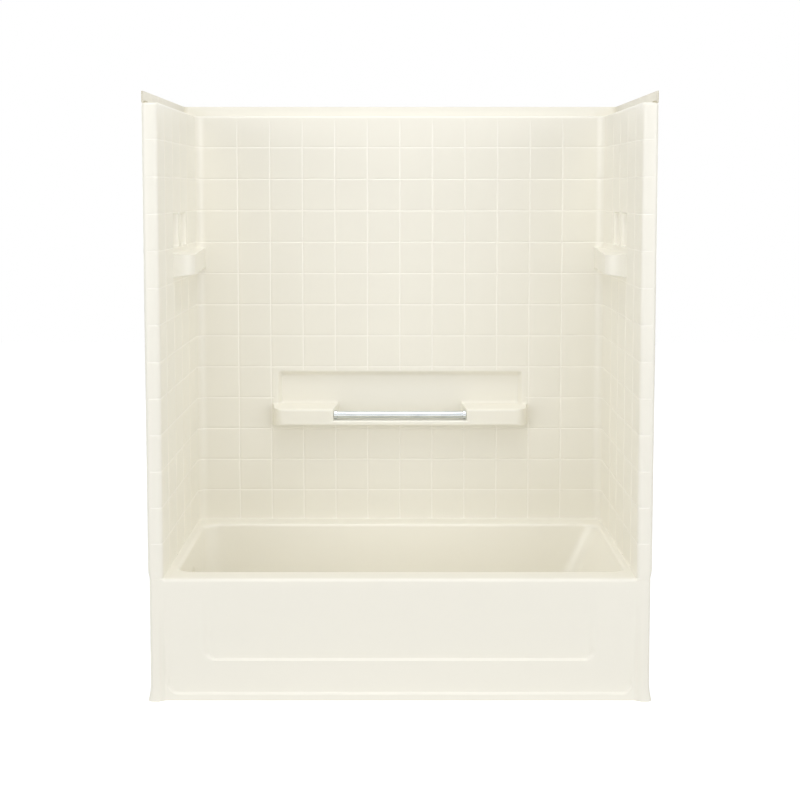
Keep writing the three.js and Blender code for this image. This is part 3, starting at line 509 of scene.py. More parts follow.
def make_mesh(name: str, forms: list[Form], sharp: float) -> bpy.types.Object:
    """Makes one object from closed forms.

    Args:
        name: The object's name.
        forms: Its closed forms in millimetres.
        sharp: The angle in degrees past which an edge stays sharp.

    Returns:
        The linked object, at the origin.
    """
    welded = [form.welded() for form in forms]
    names = sorted({mark for form in welded for mark in form.marks})
    polygons: list[list[int]] = []
    start = 0
    for form in welded:
        for corners in (form.faces + start).tolist():
            kept = [c for i, c in enumerate(corners) if c != corners[i - 1]]
            if len(kept) > 2 and len(set(kept)) == len(kept):
                polygons.append(kept)
        start += len(form.points)
    mesh = bpy.data.meshes.new(name)
    mesh.from_pydata((np.concatenate([f.points for f in welded]) * MM).tolist(), [], polygons)
    for mark in names:
        values = [form.marks.get(mark, np.zeros(len(form.points))) for form in welded]
        layer = mesh.attributes.new(mark, "FLOAT", "POINT")
        layer.data.foreach_set("value", np.concatenate(values).astype(np.float32))
    mesh.validate()
    mesh.shade_smooth()
    mesh.set_sharp_from_angle(angle=math.radians(sharp))
    return new_object(name, mesh)


class NodeTree:
    """Places nodes in a tree and links them."""

    def __init__(self, tree: bpy.types.NodeTree) -> None:
        """Takes the tree that the nodes go into."""
        self.tree = tree

    def add(self, kind: str, inputs: dict[str | int, object] | None = None,
            **settings: object) -> bpy.types.Node:
        """Adds a node, sets its options, and feeds its inputs from sockets or plain values.

        Args:
            kind: The node's type.
            inputs: A socket or a plain value for each input.
            settings: The node's options.

        Returns:
            The node.
        """
        node = self.tree.nodes.new(kind)
        for label, value in settings.items():
            setattr(node, label, value)
        for label, value in (inputs or {}).items():
            if isinstance(value, Socket):
                self.link(value, node, label)
            else:
                node.inputs[label].default_value = value
        return node

    def get(self, output: str | int, kind: str, inputs: dict[str | int, object] | None = None,
            **settings: object) -> Socket:
        """Adds a node and returns one of its outputs."""
        return self.add(kind, inputs, **settings).outputs[output]

    def maths(self, operation: str, *values: object, clamp: bool = False) -> Socket:
        """Adds a Math node and returns its result."""
        return self.get(0, "ShaderNodeMath", dict(enumerate(values)), operation=operation,
                        use_clamp=clamp)

    def link(self, value: Socket, node: bpy.types.Node, label: str | int) -> None:
        """Feeds an input of a node, and adds to it where it takes several."""
        self.tree.links.new(value, node.inputs[label])

    def open_ends(self) -> None:
        """Adds the nodes where the tree's inputs come in and its outputs go out."""
        self.entry = self.tree.nodes.new("NodeGroupInput")
        self.exit = self.tree.nodes.new("NodeGroupOutput")


class GeometryTree(NodeTree):
    """A Geometry Nodes tree with named inputs, applied to an object as a plain mesh."""

    kinds = {float: "NodeSocketFloat", int: "NodeSocketInt", tuple: "NodeSocketVector"}

    def __init__(self, name: str, inputs: dict[str, float | int | Point]) -> None:
        """Makes the tree with its sockets, the last of which takes the material.

        Args:
            name: The tree's name.
            inputs: First value of each named input.
        """
        super().__init__(bpy.data.node_groups.new(name, "GeometryNodeTree"))
        face = self.tree.interface
        face.new_socket("Geometry", in_out="INPUT", socket_type="NodeSocketGeometry")
        for label, value in inputs.items():
            socket = face.new_socket(label, in_out="INPUT", socket_type=self.kinds[type(value)])
            socket.default_value = value
        face.new_socket("Material", in_out="INPUT", socket_type="NodeSocketMaterial")
        face.new_socket("Geometry", in_out="OUTPUT", socket_type="NodeSocketGeometry")
        self.open_ends()

    def close(self, geometry: Socket) -> None:
        """Ends the tree in Realize Instances and Set Material.

        Args:
            geometry: The finished geometry.
        """
        real = self.get("Geometry", "GeometryNodeRealizeInstances", {"Geometry": geometry})
        dressed = self.get("Geometry", "GeometryNodeSetMaterial", {
            "Geometry": real, "Material": self.entry.outputs["Material"]})
        self.link(dressed, self.exit, "Geometry")

    def cut(self, *tools: Socket) -> Socket:
        """The piece that the tree is given, with other closed forms cut out of it.

        Args:
            tools: The closed forms to cut away.

        Returns:
            What is left.
        """
        cut = self.add("GeometryNodeMeshBoolean", operation="DIFFERENCE", solver="EXACT")
        self.link(self.entry.outputs["Geometry"], cut, "Mesh 1")
        for tool in tools:
            self.link(tool, cut, "Mesh 2")
        return cut.outputs["Mesh"]

    def apply(self, piece: bpy.types.Object, values: dict[str, object], sharp: float) -> None:
        """Runs the tree on a piece and leaves a plain mesh.

        Args:
            piece: The object whose mesh the tree takes and gives back.
            values: A value for each named input.
            sharp: The angle in degrees past which an edge stays sharp.
        """
        modifier = piece.modifiers.new(self.tree.name, "NODES")
        modifier.node_group = self.tree
        for item in self.tree.interface.items_tree:
            if item.item_type == "SOCKET" and item.in_out == "INPUT" and item.name in values:
                modifier[item.identifier] = values[item.name]
        graph = bpy.context.evaluated_depsgraph_get()
        made = bpy.data.meshes.new_from_object(
            piece.evaluated_get(graph), preserve_all_data_layers=True, depsgraph=graph)
        piece.modifiers.remove(modifier)
        old, piece.data = piece.data, made
        bpy.data.meshes.remove(old)
        made.shade_smooth()
        made.set_sharp_from_angle(angle=math.radians(sharp))


# Shader groups

MIX_SOCKETS = (0, 6, 7)
MIX_RESULT = 2


class ShaderTree(NodeTree):
    """Places shader nodes in a material or a group."""

    def spread(self, value: object, low: float, high: float, to_low: float = 0.0,
               to_high: float = 1.0) -> Socket:
        """Maps a range of values to another, held at both ends."""
        return self.get("Result", "ShaderNodeMapRange", {
            "Value": value, "From Min": low, "From Max": high, "To Min": to_low, "To Max": to_high})

    def mix_colour(self, share: Socket, first: object, second: object) -> Socket:
        """Mixes two colours by a share."""
        colours = dict(zip(MIX_SOCKETS, (share, first, second)))
        return self.get(MIX_RESULT, "ShaderNodeMix", colours, data_type="RGBA")

    def noise(self, place: Socket, scale: object, detail: float, output: str = "Fac",
              **more: float) -> Socket:
        """A noise pattern at a scale, with a number of finer layers."""
        return self.get(output, "ShaderNodeTexNoise", {
            "Vector": place, "Scale": scale, "Detail": detail, **more})

    def stretched(self, place: Socket, scale: Point, **more: Point) -> Socket:
        """Places scaled along each axis, so that a pattern on them is drawn out."""
        return self.get("Vector", "ShaderNodeMapping", {"Vector": place, "Scale": scale, **more})

    def object_place(self) -> Socket:
        """The place on the object in its own frame."""
        return self.get("Object", "ShaderNodeTexCoord")

    def facing_up(self) -> Socket:
        """How far the surface looks up, from -1 to 1."""
        normal = self.get("Normal", "ShaderNodeNewGeometry")
        return self.get("Z", "ShaderNodeSeparateXYZ", {"Vector": normal})

    def seen(self) -> Socket:
        """1 for rays from the camera, a mirror or glass, 0 for the light that falls on things.

        Returns:
            1 or 0.
        """
        rays = self.add("ShaderNodeLightPath")
        most = self.maths("MAXIMUM", rays.outputs["Is Camera Ray"], rays.outputs["Is Glossy Ray"])
        return self.maths("MAXIMUM", most, rays.outputs["Is Transmission Ray"])

    def attribute(self, name: str) -> Socket:
        """The value of a mark on the piece."""
        return self.get("Fac", "ShaderNodeAttribute", attribute_name=name)


class ShaderGroup(ShaderTree):
    """A shader node group with named inputs and outputs, built once and shared."""

    def __init__(self, name: str, inputs: dict[str, float], outputs: tuple[str, ...]) -> None:
        """Makes the group with its sockets.

        Args:
            name: The group's name.
            inputs: First value of each named input.
            outputs: Names of the outputs.
        """
        super().__init__(bpy.data.node_groups.new(name, "ShaderNodeTree"))
        for label, value in inputs.items():
            socket = self.tree.interface.new_socket(
                label, in_out="INPUT", socket_type="NodeSocketFloat")
            socket.default_value = value
        for label in outputs:
            self.tree.interface.new_socket(label, in_out="OUTPUT", socket_type="NodeSocketFloat")
        self.open_ends()

    def give(self, label: str, value: Socket) -> None:
        """Feeds one of the group's outputs."""
        self.link(value, self.exit, label)

    def place(self, target: ShaderTree, **values: float) -> bpy.types.Node:
        """Places the group in a material with its own values.

        Args:
            target: The material.
            values: A value for each input.

        Returns:
            The group's node.
        """
        node = target.add("ShaderNodeGroup", node_tree=self.tree)
        for label, value in values.items():
            node.inputs[label.replace("_", " ").capitalize()].default_value = value
        return node


def cast_skin_group() -> ShaderGroup:
    """The skin of a moulded piece: a slow wave, a fine orange peel and a faint mottle.

    Returns:
        The shader group.
    """
    group = ShaderGroup("Cast skin", {"Peel": 160.0, "Wave": 5.0, "Relief": 1.0},
                        ("Height", "Mottle"))
    place, given = group.object_place(), group.entry.outputs
    peel = group.noise(place, given["Peel"], 2.0, Roughness=0.5)
    wave = group.noise(place, given["Wave"], 2.0, Roughness=0.4)
    speck = group.noise(place, given["Peel"], 6.0, Roughness=0.8)
    fine = group.maths("MULTIPLY", peel, 0.12)
    height = group.maths("ADD", fine, wave)
    group.give("Height", group.maths("MULTIPLY", height, given["Relief"]))
    group.give("Mottle", group.spread(speck, 0.3, 0.7))
    return group


def fibre_mat_group() -> ShaderGroup:
    """The rough back of a moulding: crossed strands under resin, with runs.

    Returns:
        The shader group.
    """
    group = ShaderGroup("Fibre mat", {"Strands": 90.0, "Runs": 9.0}, ("Height", "Shade"))
    place, given = group.object_place(), group.entry.outputs
    sway = group.noise(place, 14.0, 2.0, "Color")
    bent = group.get("Vector", "ShaderNodeVectorMath", {0: sway, 1: (0.09, 0.09, 0.09)},
                     operation="MULTIPLY")
    moved = group.get("Vector", "ShaderNodeVectorMath", {0: place, 1: bent})
    layers = []
    for stretch, turn in (((1.0, 1.0, 0.09), 0.6), ((0.09, 1.0, 1.0), -0.5),
                          ((1.0, 0.09, 0.7), 1.2)):
        laid = group.stretched(moved, stretch, Rotation=(turn, turn / 2, turn))
        strand = group.noise(laid, given["Strands"], 3.0, Roughness=0.6)
        layers.append(group.spread(strand, 0.54, 0.66))
    top = group.maths("MAXIMUM", group.maths("MAXIMUM", layers[0], layers[1]), layers[2])
    runs = group.noise(place, given["Runs"], 4.0)
    pooled = group.spread(runs, 0.35, 0.65)
    group.give("Height", group.maths("ADD", top, pooled))
    group.give("Shade", group.maths("ADD", group.maths("MULTIPLY", top, 0.55),
                                    group.maths("MULTIPLY", pooled, 0.45)))
    return group


def drawn_metal_group() -> ShaderGroup:
    """Fine lines left by drawing or turning, with a slow cloud of tarnish.

    Returns:
        The shader group.
    """
    group = ShaderGroup("Drawn metal", {"Lines": 900.0, "Cloud": 22.0}, ("Height", "Cloud"))
    place, given = group.object_place(), group.entry.outputs
    line = group.noise(group.stretched(place, (0.05, 1.0, 1.0)), given["Lines"], 2.0)
    cloud = group.noise(place, given["Cloud"], 4.0)
    group.give("Height", line)
    group.give("Cloud", group.spread(cloud, 0.35, 0.65))
    return group


def settled_dust_group() -> ShaderGroup:
    """Site dust that lies on faces that look up.

    Returns:
        The shader group.
    """
    group = ShaderGroup("Settled dust", {"Amount": 0.5, "Grain": 60.0}, ("Mask",))
    place, given = group.object_place(), group.entry.outputs
    grain = group.noise(place, given["Grain"], 5.0)
    lying = group.spread(group.facing_up(), 0.2, 0.95)
    patch = group.spread(grain, 0.3, 0.7, 0.2, 1.0)
    amount = group.maths("MULTIPLY", lying, given["Amount"])
    group.give("Mask", group.maths("MULTIPLY", amount, patch, clamp=True))
    return group


class Effects:
    """The shader groups that several finishes share."""

    def __init__(self) -> None:
        """Builds each group once."""
        self.cast_skin = cast_skin_group()
        self.fibre_mat = fibre_mat_group()
        self.drawn_metal = drawn_metal_group()
        self.dust = settled_dust_group()


# Finishes


def linear(colour: Colour) -> tuple[float, float, float, float]:
    """A colour written as 0 to 255 on screen, as the shader needs it.

    Args:
        colour: Red, green and blue from 0 to 255.

    Returns:
        Red, green, blue and full opacity.
    """
    values = [c / 255 for c in colour]
    flat = [v / 12.92 if v <= 0.04045 else ((v + 0.055) / 1.055) ** 2.4 for v in values]
    return (flat[0], flat[1], flat[2], 1.0)


class Coat(ShaderTree):
    """A material whose shader is fed with a colour, a roughness and a relief."""

    def __init__(self, name: str) -> None:
        """Makes an empty node material.

        Args:
            name: The material's name.
        """
        self.material = bpy.data.materials.new(name)
        self.material.use_nodes = True
        super().__init__(self.material.node_tree)
        self.shader = self.tree.nodes["Principled BSDF"]

    def feed(self, **values: Socket) -> None:
        """Links values to the shader's inputs of the same name."""
        for label, value in values.items():
            self.link(value, self.shader, label.replace("_", " "))

    def relief(self, height: Socket, strength: float, distance: float) -> Socket:
        """The normal of a surface with a relief, whose distance is in metres."""
        return self.get("Normal", "ShaderNodeBump", {
            "Height": height, "Strength": strength, "Distance": distance})

    def dusted(self, colour: Socket, dust: Socket, shade: Colour) -> Socket:
        """A colour under dust."""
        return self.mix_colour(dust, colour, linear(shade))


@dataclass(frozen=True)
class Moulding:
    """Glossy biscuit moulding with painted joint highlights and a rough fibre back."""

    name: str = "biscuit_moulding"
    face: Colour = (247, 244, 233)
    # Painted highlight colour of the joint lines; the joints have the face's own colour.
    joint: Colour = (255, 252, 243)
    mat: Colour = (206, 200, 178)
    resin: Colour = (176, 167, 140)
    joint_highlight_gain: float = 2.2
    gloss: float = 0.27
    back_roughness: float = 0.62
    skin_depth: float = 0.10

    def coat(self, effects: Effects) -> Material:
        """The finish as a material.

        Args:
            effects: The shader groups that finishes share.

        Returns:
            The material.
        """
        work = Coat(self.name)
        skin = effects.cast_skin.place(work, Peel=170.0, Wave=4.0, Relief=1.0)
        fibres = effects.fibre_mat.place(work, Strands=95.0, Runs=7.0)
        # The mark of the rough back also holds a painted shade on the end-wall flanges, mixed in
        # through the rough colour.
        backing, groove = work.attribute("backing"), work.attribute("groove")
        # Painted highlight: the joint lines are mixed towards a lighter colour where light would
        # catch the grooves.
        joint = work.maths("MULTIPLY", groove, self.joint_highlight_gain, clamp=True)
        face = work.mix_colour(joint, linear(self.face), linear(self.joint))
        rough = work.mix_colour(fibres.outputs["Shade"], linear(self.resin), linear(self.mat))
        gloss = work.spread(skin.outputs["Mottle"], 0.0, 1.0, self.gloss, self.gloss + 0.05)
        roughness = work.get("Result", "ShaderNodeMix", {
            "Factor": backing, "A": gloss, "B": self.back_roughness})
        height = work.get("Result", "ShaderNodeMix", {
            "Factor": backing, "B": fibres.outputs["Height"],
            "A": work.maths("MULTIPLY", skin.outputs["Height"], self.skin_depth)})
        work.feed(Base_Color=work.mix_colour(backing, face, rough), Roughness=roughness,
                  Normal=work.relief(height, 0.35, 0.0012))
        return work.material


@dataclass(frozen=True)
class CastPlastic:
    """A moulded plastic or rubber piece with a fine skin and a little dust."""

    name: str
    colour: Colour
    worn: Colour
    roughness: float
    relief: float
    dust: float = 0.3

    def coat(self, effects: Effects) -> Material:
        """The finish as a material.

        Args:
            effects: The shader groups that finishes share.

        Returns:
            The material.
        """
        work = Coat(self.name)
        skin = effects.cast_skin.place(work, Peel=420.0, Wave=30.0, Relief=self.relief)
        dust = effects.dust.place(work, Amount=self.dust, Grain=80.0)
        mottle = skin.outputs["Mottle"]
        colour = work.mix_colour(mottle, linear(self.colour), linear(self.worn))
        work.feed(Base_Color=work.dusted(colour, dust.outputs["Mask"], (203, 197, 184)),
                  Roughness=work.spread(mottle, 0.0, 1.0, self.roughness, self.roughness + 0.1),
                  Normal=work.relief(skin.outputs["Height"], 0.4, 0.0006))
        return work.material


@dataclass(frozen=True)
class Metal:
    """Plated or drawn metal with fine lines and a cloud of tarnish."""

    name: str
    colour: Colour
    tarnish: Colour
    roughness: float
    spread: float
    lines: float
    depth: float
    dust: float = 0.0

    def coat(self, effects: Effects) -> Material:
        """The finish as a material.

        Args:
            effects: The shader groups that finishes share.

        Returns:
            The material.
        """
        work = Coat(self.name)
        drawn = effects.drawn_metal.place(work, Lines=self.lines, Cloud=24.0)
        cloud = drawn.outputs["Cloud"]
        colour = work.mix_colour(cloud, linear(self.colour), linear(self.tarnish))
        if self.dust:
            mask = effects.dust.place(work, Amount=self.dust, Grain=90.0).outputs["Mask"]
            colour = work.dusted(colour, mask, (190, 182, 165))
            work.feed(Metallic=work.spread(mask, 0.0, 1.0, 1.0, 0.2))
        else:
            work.shader.inputs["Metallic"].default_value = 1.0
        rough = work.spread(cloud, 0.0, 1.0, self.roughness, self.roughness + self.spread)
        work.feed(Base_Color=colour, Roughness=rough,
                  Normal=work.relief(drawn.outputs["Height"], self.depth, 0.0004))
        return work.material


@dataclass(frozen=True)
class SawnWood:
    """Sawn board or plywood with grain along one direction."""

    name: str
    light: Colour
    dark: Colour
    stretch: Point
    ply: float = 0.0

    def ply_lines(self, work: Coat, place: Socket) -> Socket:
        """Darker layers along the edges of a board that is glued up from plies.

        Args:
            work: The material that the nodes go into.
            place: The place on the object.

        Returns:
            How dark the layers are at each place, from 0 up.
        """
        height = work.get("Z", "ShaderNodeSeparateXYZ", {"Vector": place})
        layer = work.maths("FRACT", work.maths("DIVIDE", height, 2 * self.ply))
        band = work.spread(work.maths("ABSOLUTE", work.maths("SUBTRACT", layer, 0.5)),
                           0.2, 0.3, 0.0, 0.7)
        side = work.spread(work.maths("ABSOLUTE", work.facing_up()), 0.2, 0.6, 1.0, 0.0)
        return work.maths("MULTIPLY", band, side)

    def coat(self, effects: Effects) -> Material:
        """The finish as a material.

        Args:
            effects: The shader groups that finishes share.

        Returns:
            The material.
        """
        work = Coat(self.name)
        place = work.object_place()
        laid = work.stretched(place, self.stretch)
        bands = work.noise(laid, 26.0, 6.0, Distortion=0.8)
        pores = work.noise(laid, 240.0, 3.0)
        dust = effects.dust.place(work, Amount=0.35, Grain=45.0)
        band = work.spread(bands, 0.38, 0.62)
        pore = work.spread(pores, 0.3, 0.48, 1.0, 0.0)
        shade = work.maths("MAXIMUM", work.maths("MULTIPLY", band, 0.8),
                           work.maths("MULTIPLY", pore, 0.7))
        if self.ply:
            shade = work.maths("MAXIMUM", shade, self.ply_lines(work, place))
        colour = work.mix_colour(shade, linear(self.light), linear(self.dark))
        work.feed(Base_Color=work.dusted(colour, dust.outputs["Mask"], (214, 205, 188)),
                  Roughness=work.spread(shade, 0.0, 1.0, 0.62, 0.85),
                  Normal=work.relief(work.maths("SUBTRACT", 1.0, shade), 0.5, 0.0008))
        return work.material


@dataclass(frozen=True)
class Finish:
    """A material with the name of a slot."""

    material: Material
    slot: Slot


class Finishes:
    """Every finish of the object."""

    def __init__(self) -> None:
        """Builds the shared effects and the materials."""
        self.effects = Effects()
        across, deep, upright = (0.12, 1.0, 1.0), (1.0, 0.12, 1.0), (1.0, 1.0, 0.12)
        sawn = ((210, 180, 130), (170, 132, 84))
        self.moulding = self.made(Slot.MOULDING, Moulding())
        self.trim = self.made(Slot.TRIM, CastPlastic(
            "biscuit_trim", (236, 232, 216), (232, 227, 210), 0.34, 0.5, 0.0))
        self.chrome = self.made(Slot.CHROME, Metal(
            "chrome_plate", (220, 224, 226), (208, 213, 216), 0.05, 0.05, 700.0, 0.03))
        self.brass = self.made(Slot.BRASS, Metal(
            "raw_brass", (196, 164, 96), (158, 126, 70), 0.28, 0.2, 900.0, 0.3, 0.25))
        self.steel = self.made(Slot.STEEL, Metal(
            "zinc_steel", (198, 201, 204), (170, 172, 170), 0.3, 0.18, 1100.0, 0.3))
        self.foot = self.made(Slot.FOOT, CastPlastic(
            "black_foot", (40, 41, 43), (54, 54, 55), 0.5, 1.5, 0.45))
        self.rubber = self.made(Slot.RUBBER, CastPlastic(
            "black_rubber", (52, 52, 52), (66, 65, 63), 0.7, 1.2))
        self.seal = self.made(Slot.SEAL, CastPlastic(
            "seal_foam", (214, 210, 196), (200, 196, 182), 0.85, 3.0, 0.0))
        self.board = self.made(Slot.BOARD, SawnWood(
            "floor_plywood", (206, 176, 126), (168, 130, 82), across, 2.7 * MM))
        self.upright = self.made(Slot.BOARD, SawnWood(
            "sawn_brace", (212, 182, 134), (172, 134, 88), upright))
        self.batten_across = self.made(Slot.BOARD, SawnWood("sawn_batten", *sawn, across))
        self.batten_deep = self.made(Slot.BOARD, SawnWood("sawn_end_batten", *sawn, deep))

    def made(self, slot: Slot, look: Moulding | CastPlastic | Metal | SawnWood) -> Finish:
        """A look made into a material, with its slot."""
        return Finish(look.coat(self.effects), slot)


# Finished pieces


def finish_piece(name: str, forms: list[Form], finish: Finish, *nodes: str,
                 body: Body = Body.ROOT, sharp: float = 35.0, tree: GeometryTree | None = None,
                 values: dict[str, object] | None = None) -> None:
    """Makes a piece, dresses it and fits it to the frame.

    Args:
        name: The piece's name.
        forms: Its closed forms in millimetres.
        finish: Its material and slot.
        nodes: The nodes that it stands for.
        body: The body that it rides.
        sharp: The angle in degrees past which an edge stays sharp.
        tree: The tree that adds its details, or None.
        values: The tree's inputs besides the material.
    """
    piece = make_mesh(name, forms, sharp)
    if tree:
        tree.apply(piece, {**(values or {}), "Material": finish.material}, sharp)
    else:
        piece.data.materials.append(finish.material)
    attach(piece, body.value)
    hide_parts(*nodes)
    log.info("%s: %d faces on %s", piece.name, len(piece.data.polygons), body.value)


# Tile pattern


@dataclass(frozen=True)
class Joint:
    """The section of a tile joint: a groove between two eased tile edges."""

    half_width: float = 2.6
    depth: float = 1.0
    pillow: float = 8.4
    pillow_depth: float = 0.55
    fractions: tuple[float, ...] = (-1.0, -0.62, -0.3, 0.0, 0.3, 0.62, 1.0)

    def lines_about(self, places: Array) -> Array:
        """The mesh lines that a joint at each place needs.

        Args:
            places: The places of the joints.

        Returns:
            The lines, joint by joint.
        """
        eased = mirrored([blend(self.half_width, self.pillow, 0.45), self.pillow])
        spread = np.concatenate([np.array(self.fractions) * self.half_width, eased])
        return (np.asarray(places, float)[:, None] + spread).ravel()

    def inputs(self, direction: str) -> dict[str, float]:
        """The tree inputs of the joints of one direction, in metres."""
        return {f"{direction} Half Width": self.half_width * MM,
                f"{direction} Depth": self.depth * MM,
                f"{direction} Pillow": self.pillow * MM,
                f"{direction} Pillow Depth": self.pillow_depth * MM}


@dataclass(frozen=True)
class TilePattern:
    """The moulded tile joints: level rows all round and upright columns on each wall."""

    row_pitch: float = 109.6
    first_row: float = 482.1
    rows: int = 12
    level: Joint = Joint()

    def row_heights(self) -> Array:
        """The height of each level joint."""
        return self.first_row + self.row_pitch * np.arange(self.rows)

    def inputs(self) -> dict[str, float]:
        """The tree inputs of the level joints."""
        return {"Row Pitch": self.row_pitch * MM, "First Row": self.first_row * MM,
                **self.level.inputs("Row")}

    def tree(self) -> GeometryTree:
        """A tree that sinks the joints into a wall wherever its marks allow them.

        Returns:
            The tree.
        """
        made = GeometryTree("Tile joints", {
            **self.inputs(), "Column Pitch": 0.1, "First Column": 0.0,
            **self.level.inputs("Column"),
            "Column Direction": (1.0, 0.0, 0.0),
        })
        given, maths = made.entry.outputs, made.maths
        place = made.get("Position", "GeometryNodeInputPosition")
        height = made.get("Z", "ShaderNodeSeparateXYZ", {"Vector": place})
        along = made.get("Value", "ShaderNodeVectorMath", {0: place, 1: given["Column Direction"]},
                         operation="DOT_PRODUCT")

        def mark(name: str) -> Socket:
            """The value of a mark on the wall."""
            return made.get("Attribute", "GeometryNodeInputNamedAttribute", {"Name": name},
                            data_type="FLOAT")

        def joint(value: Socket, direction: str) -> tuple[Socket, Socket]:
            """The share of the groove and the depth of the face, for one direction.

            Args:
                value: Place along the direction.
                direction: Row or Column.

            Returns:
                The share of the groove, and the depth of the face.
            """
            pitch, first = given[f"{direction} Pitch"], given[f"First {direction}"]
            steps = maths("DIVIDE", maths("SUBTRACT", value, first), pitch)
            part = maths("FRACT", maths("ADD", steps, 0.5))
            off = maths("MULTIPLY", maths("ABSOLUTE", maths("SUBTRACT", part, 0.5)), pitch)
            allowed = mark(f"{direction.lower()}s")
            shares, depths = [], []
            for width, depth in (("Half Width", "Depth"), ("Pillow", "Pillow Depth")):
                part = maths("DIVIDE", off, given[f"{direction} {width}"])
                wave = maths("COSINE", maths("MULTIPLY", maths("MINIMUM", part, 1.0), math.pi))
                sunk = maths("MULTIPLY", maths("ADD", wave, 1.0), 0.5)
                shares.append(maths("MULTIPLY", sunk, allowed))
                depths.append(maths("MULTIPLY", shares[-1], given[f"{direction} {depth}"]))
            return shares[0], maths("ADD", *depths)

        level, upright = joint(height, "Row"), joint(along, "Column")
        groove, deep = (maths("MAXIMUM", *pair) for pair in zip(level, upright))
        # The groove share is kept as a mark, along which the moulding paints a highlight.
        stored = made.get("Geometry", "GeometryNodeStoreNamedAttribute", {
            "Geometry": given["Geometry"], "Name": "groove", "Value": groove}, data_type="FLOAT")
        into = made.get("Vector", "ShaderNodeCombineXYZ", {
            "X": mark("into_x"), "Y": mark("into_y")})
        offset = made.get("Vector", "ShaderNodeVectorMath", {0: into, "Scale": deep},
                          operation="SCALE")
        made.close(made.get("Geometry", "GeometryNodeSetPosition", {
            "Geometry": stored, "Offset": offset}))
        return made


# Wall panels


@dataclass(frozen=True)
class WallSizes:
    """Sizes that the three wall panels share."""

    face_x: float = 710.0
    side_x: float = 757.5
    face_y: float = 349.0
    back_y: float = 381.0
    front_y: float = -376.0
    foot: float = 376.15
    foot_fillet: float = 3.5
    top: float = 1795.0
    flange_top: float = 1829.0
    sheet: float = 5.0
    top_roll: float = 8.0
    lip_start: float = 3.4
    lip_depth: float = 24.0
    foot_lip: float = 20.0
    seam_x: float = 679.2
    corner_radius: float = 30.8
    flange_fillet: float = 3.0
    lip_gap: float = 3.0
    foot_gap: float = 2.6
    lip_bevel: float = 1.2
    level_end: Place = (1760.0, 1775.0)
    upright_end: Place = (1765.0, 1784.0)
    upright_start: Place = (0.5, 5.0)

    def rows(self, pattern: TilePattern, clear: float, pitch: float, *groups: Array,
             gap: float) -> Array:
        """The level mesh lines of a wall, up to the foot of the top roll.

        Args:
            pattern: The tile joints that need lines of their own.
            clear: Height above the foot where the even lines begin.
            pitch: Rough distance of the even lines.
            groups: The heights of other forms on the wall.
            gap: The smallest distance between two lines.

        Returns:
            The heights in rising order.
        """
        top = self.top - self.top_roll
        flare = self.foot + self.foot_fillet * np.linspace(0.1, 1.0, 6) ** 1.6
        return lines([self.foot, top], steps_between(self.foot + clear, top, pitch),
                     pattern.level.lines_about(pattern.row_heights()), *groups, flare, gap=gap)

    def upright_lip(self, x: Place) -> Form:
        """The lip behind a seam, for the right-hand side."""
        return block(x, (self.face_y + self.lip_start, self.face_y + self.lip_depth),
                     (self.foot + self.lip_gap, self.top - self.lip_gap),
                     self.lip_bevel).backed()

    def level_lip(self, x: Place, y: Place) -> Form:
        """The lip that lies on the deck."""
        low = self.foot + self.foot_gap
        return block(x, y, (low, low + self.sheet), self.lip_bevel).backed()


def foot_flare(sizes: WallSizes, z: Array) -> Array:
    """How far the small fillet at the foot of a wall stands out over the deck.

    Args:
        sizes: The sizes of the wall.
        z: Heights.

    Returns:
        The distance at each height.
    """
    radius = sizes.foot_fillet
    down = np.clip(radius - (z - sizes.foot), 0.0, radius)
    return radius - np.sqrt(radius ** 2 - down ** 2)


def wall_marks(sizes: WallSizes, z: Array, level: Array, upright: Array, into_x: Array,
               into_y: Array) -> dict[str, Array]:
    """The marks of a wall's points, with zeros on its back.

    Args:
        sizes: The sizes of the wall.
        z: Height of each point of the face.
        level: 1 where level joints may run on the face.
        upright: 1 where upright joints may run on the face.
        into_x: X of the direction that a joint sinks in.
        into_y: Y of the same direction.

    Returns:
        The marks by name.
    """
    level = level * (1 - smooth_step(z, *sizes.level_end))
    upright = upright * (1 - smooth_step(z, *sizes.upright_end))
    first, last = sizes.upright_start
    upright = upright * smooth_step(z, sizes.foot + first, sizes.foot + last)
    named = {"rows": level, "columns": upright, "into_x": into_x, "into_y": into_y}
    return {name: np.concatenate([values.ravel(), np.zeros(values.size)])
            for name, values in named.items()}


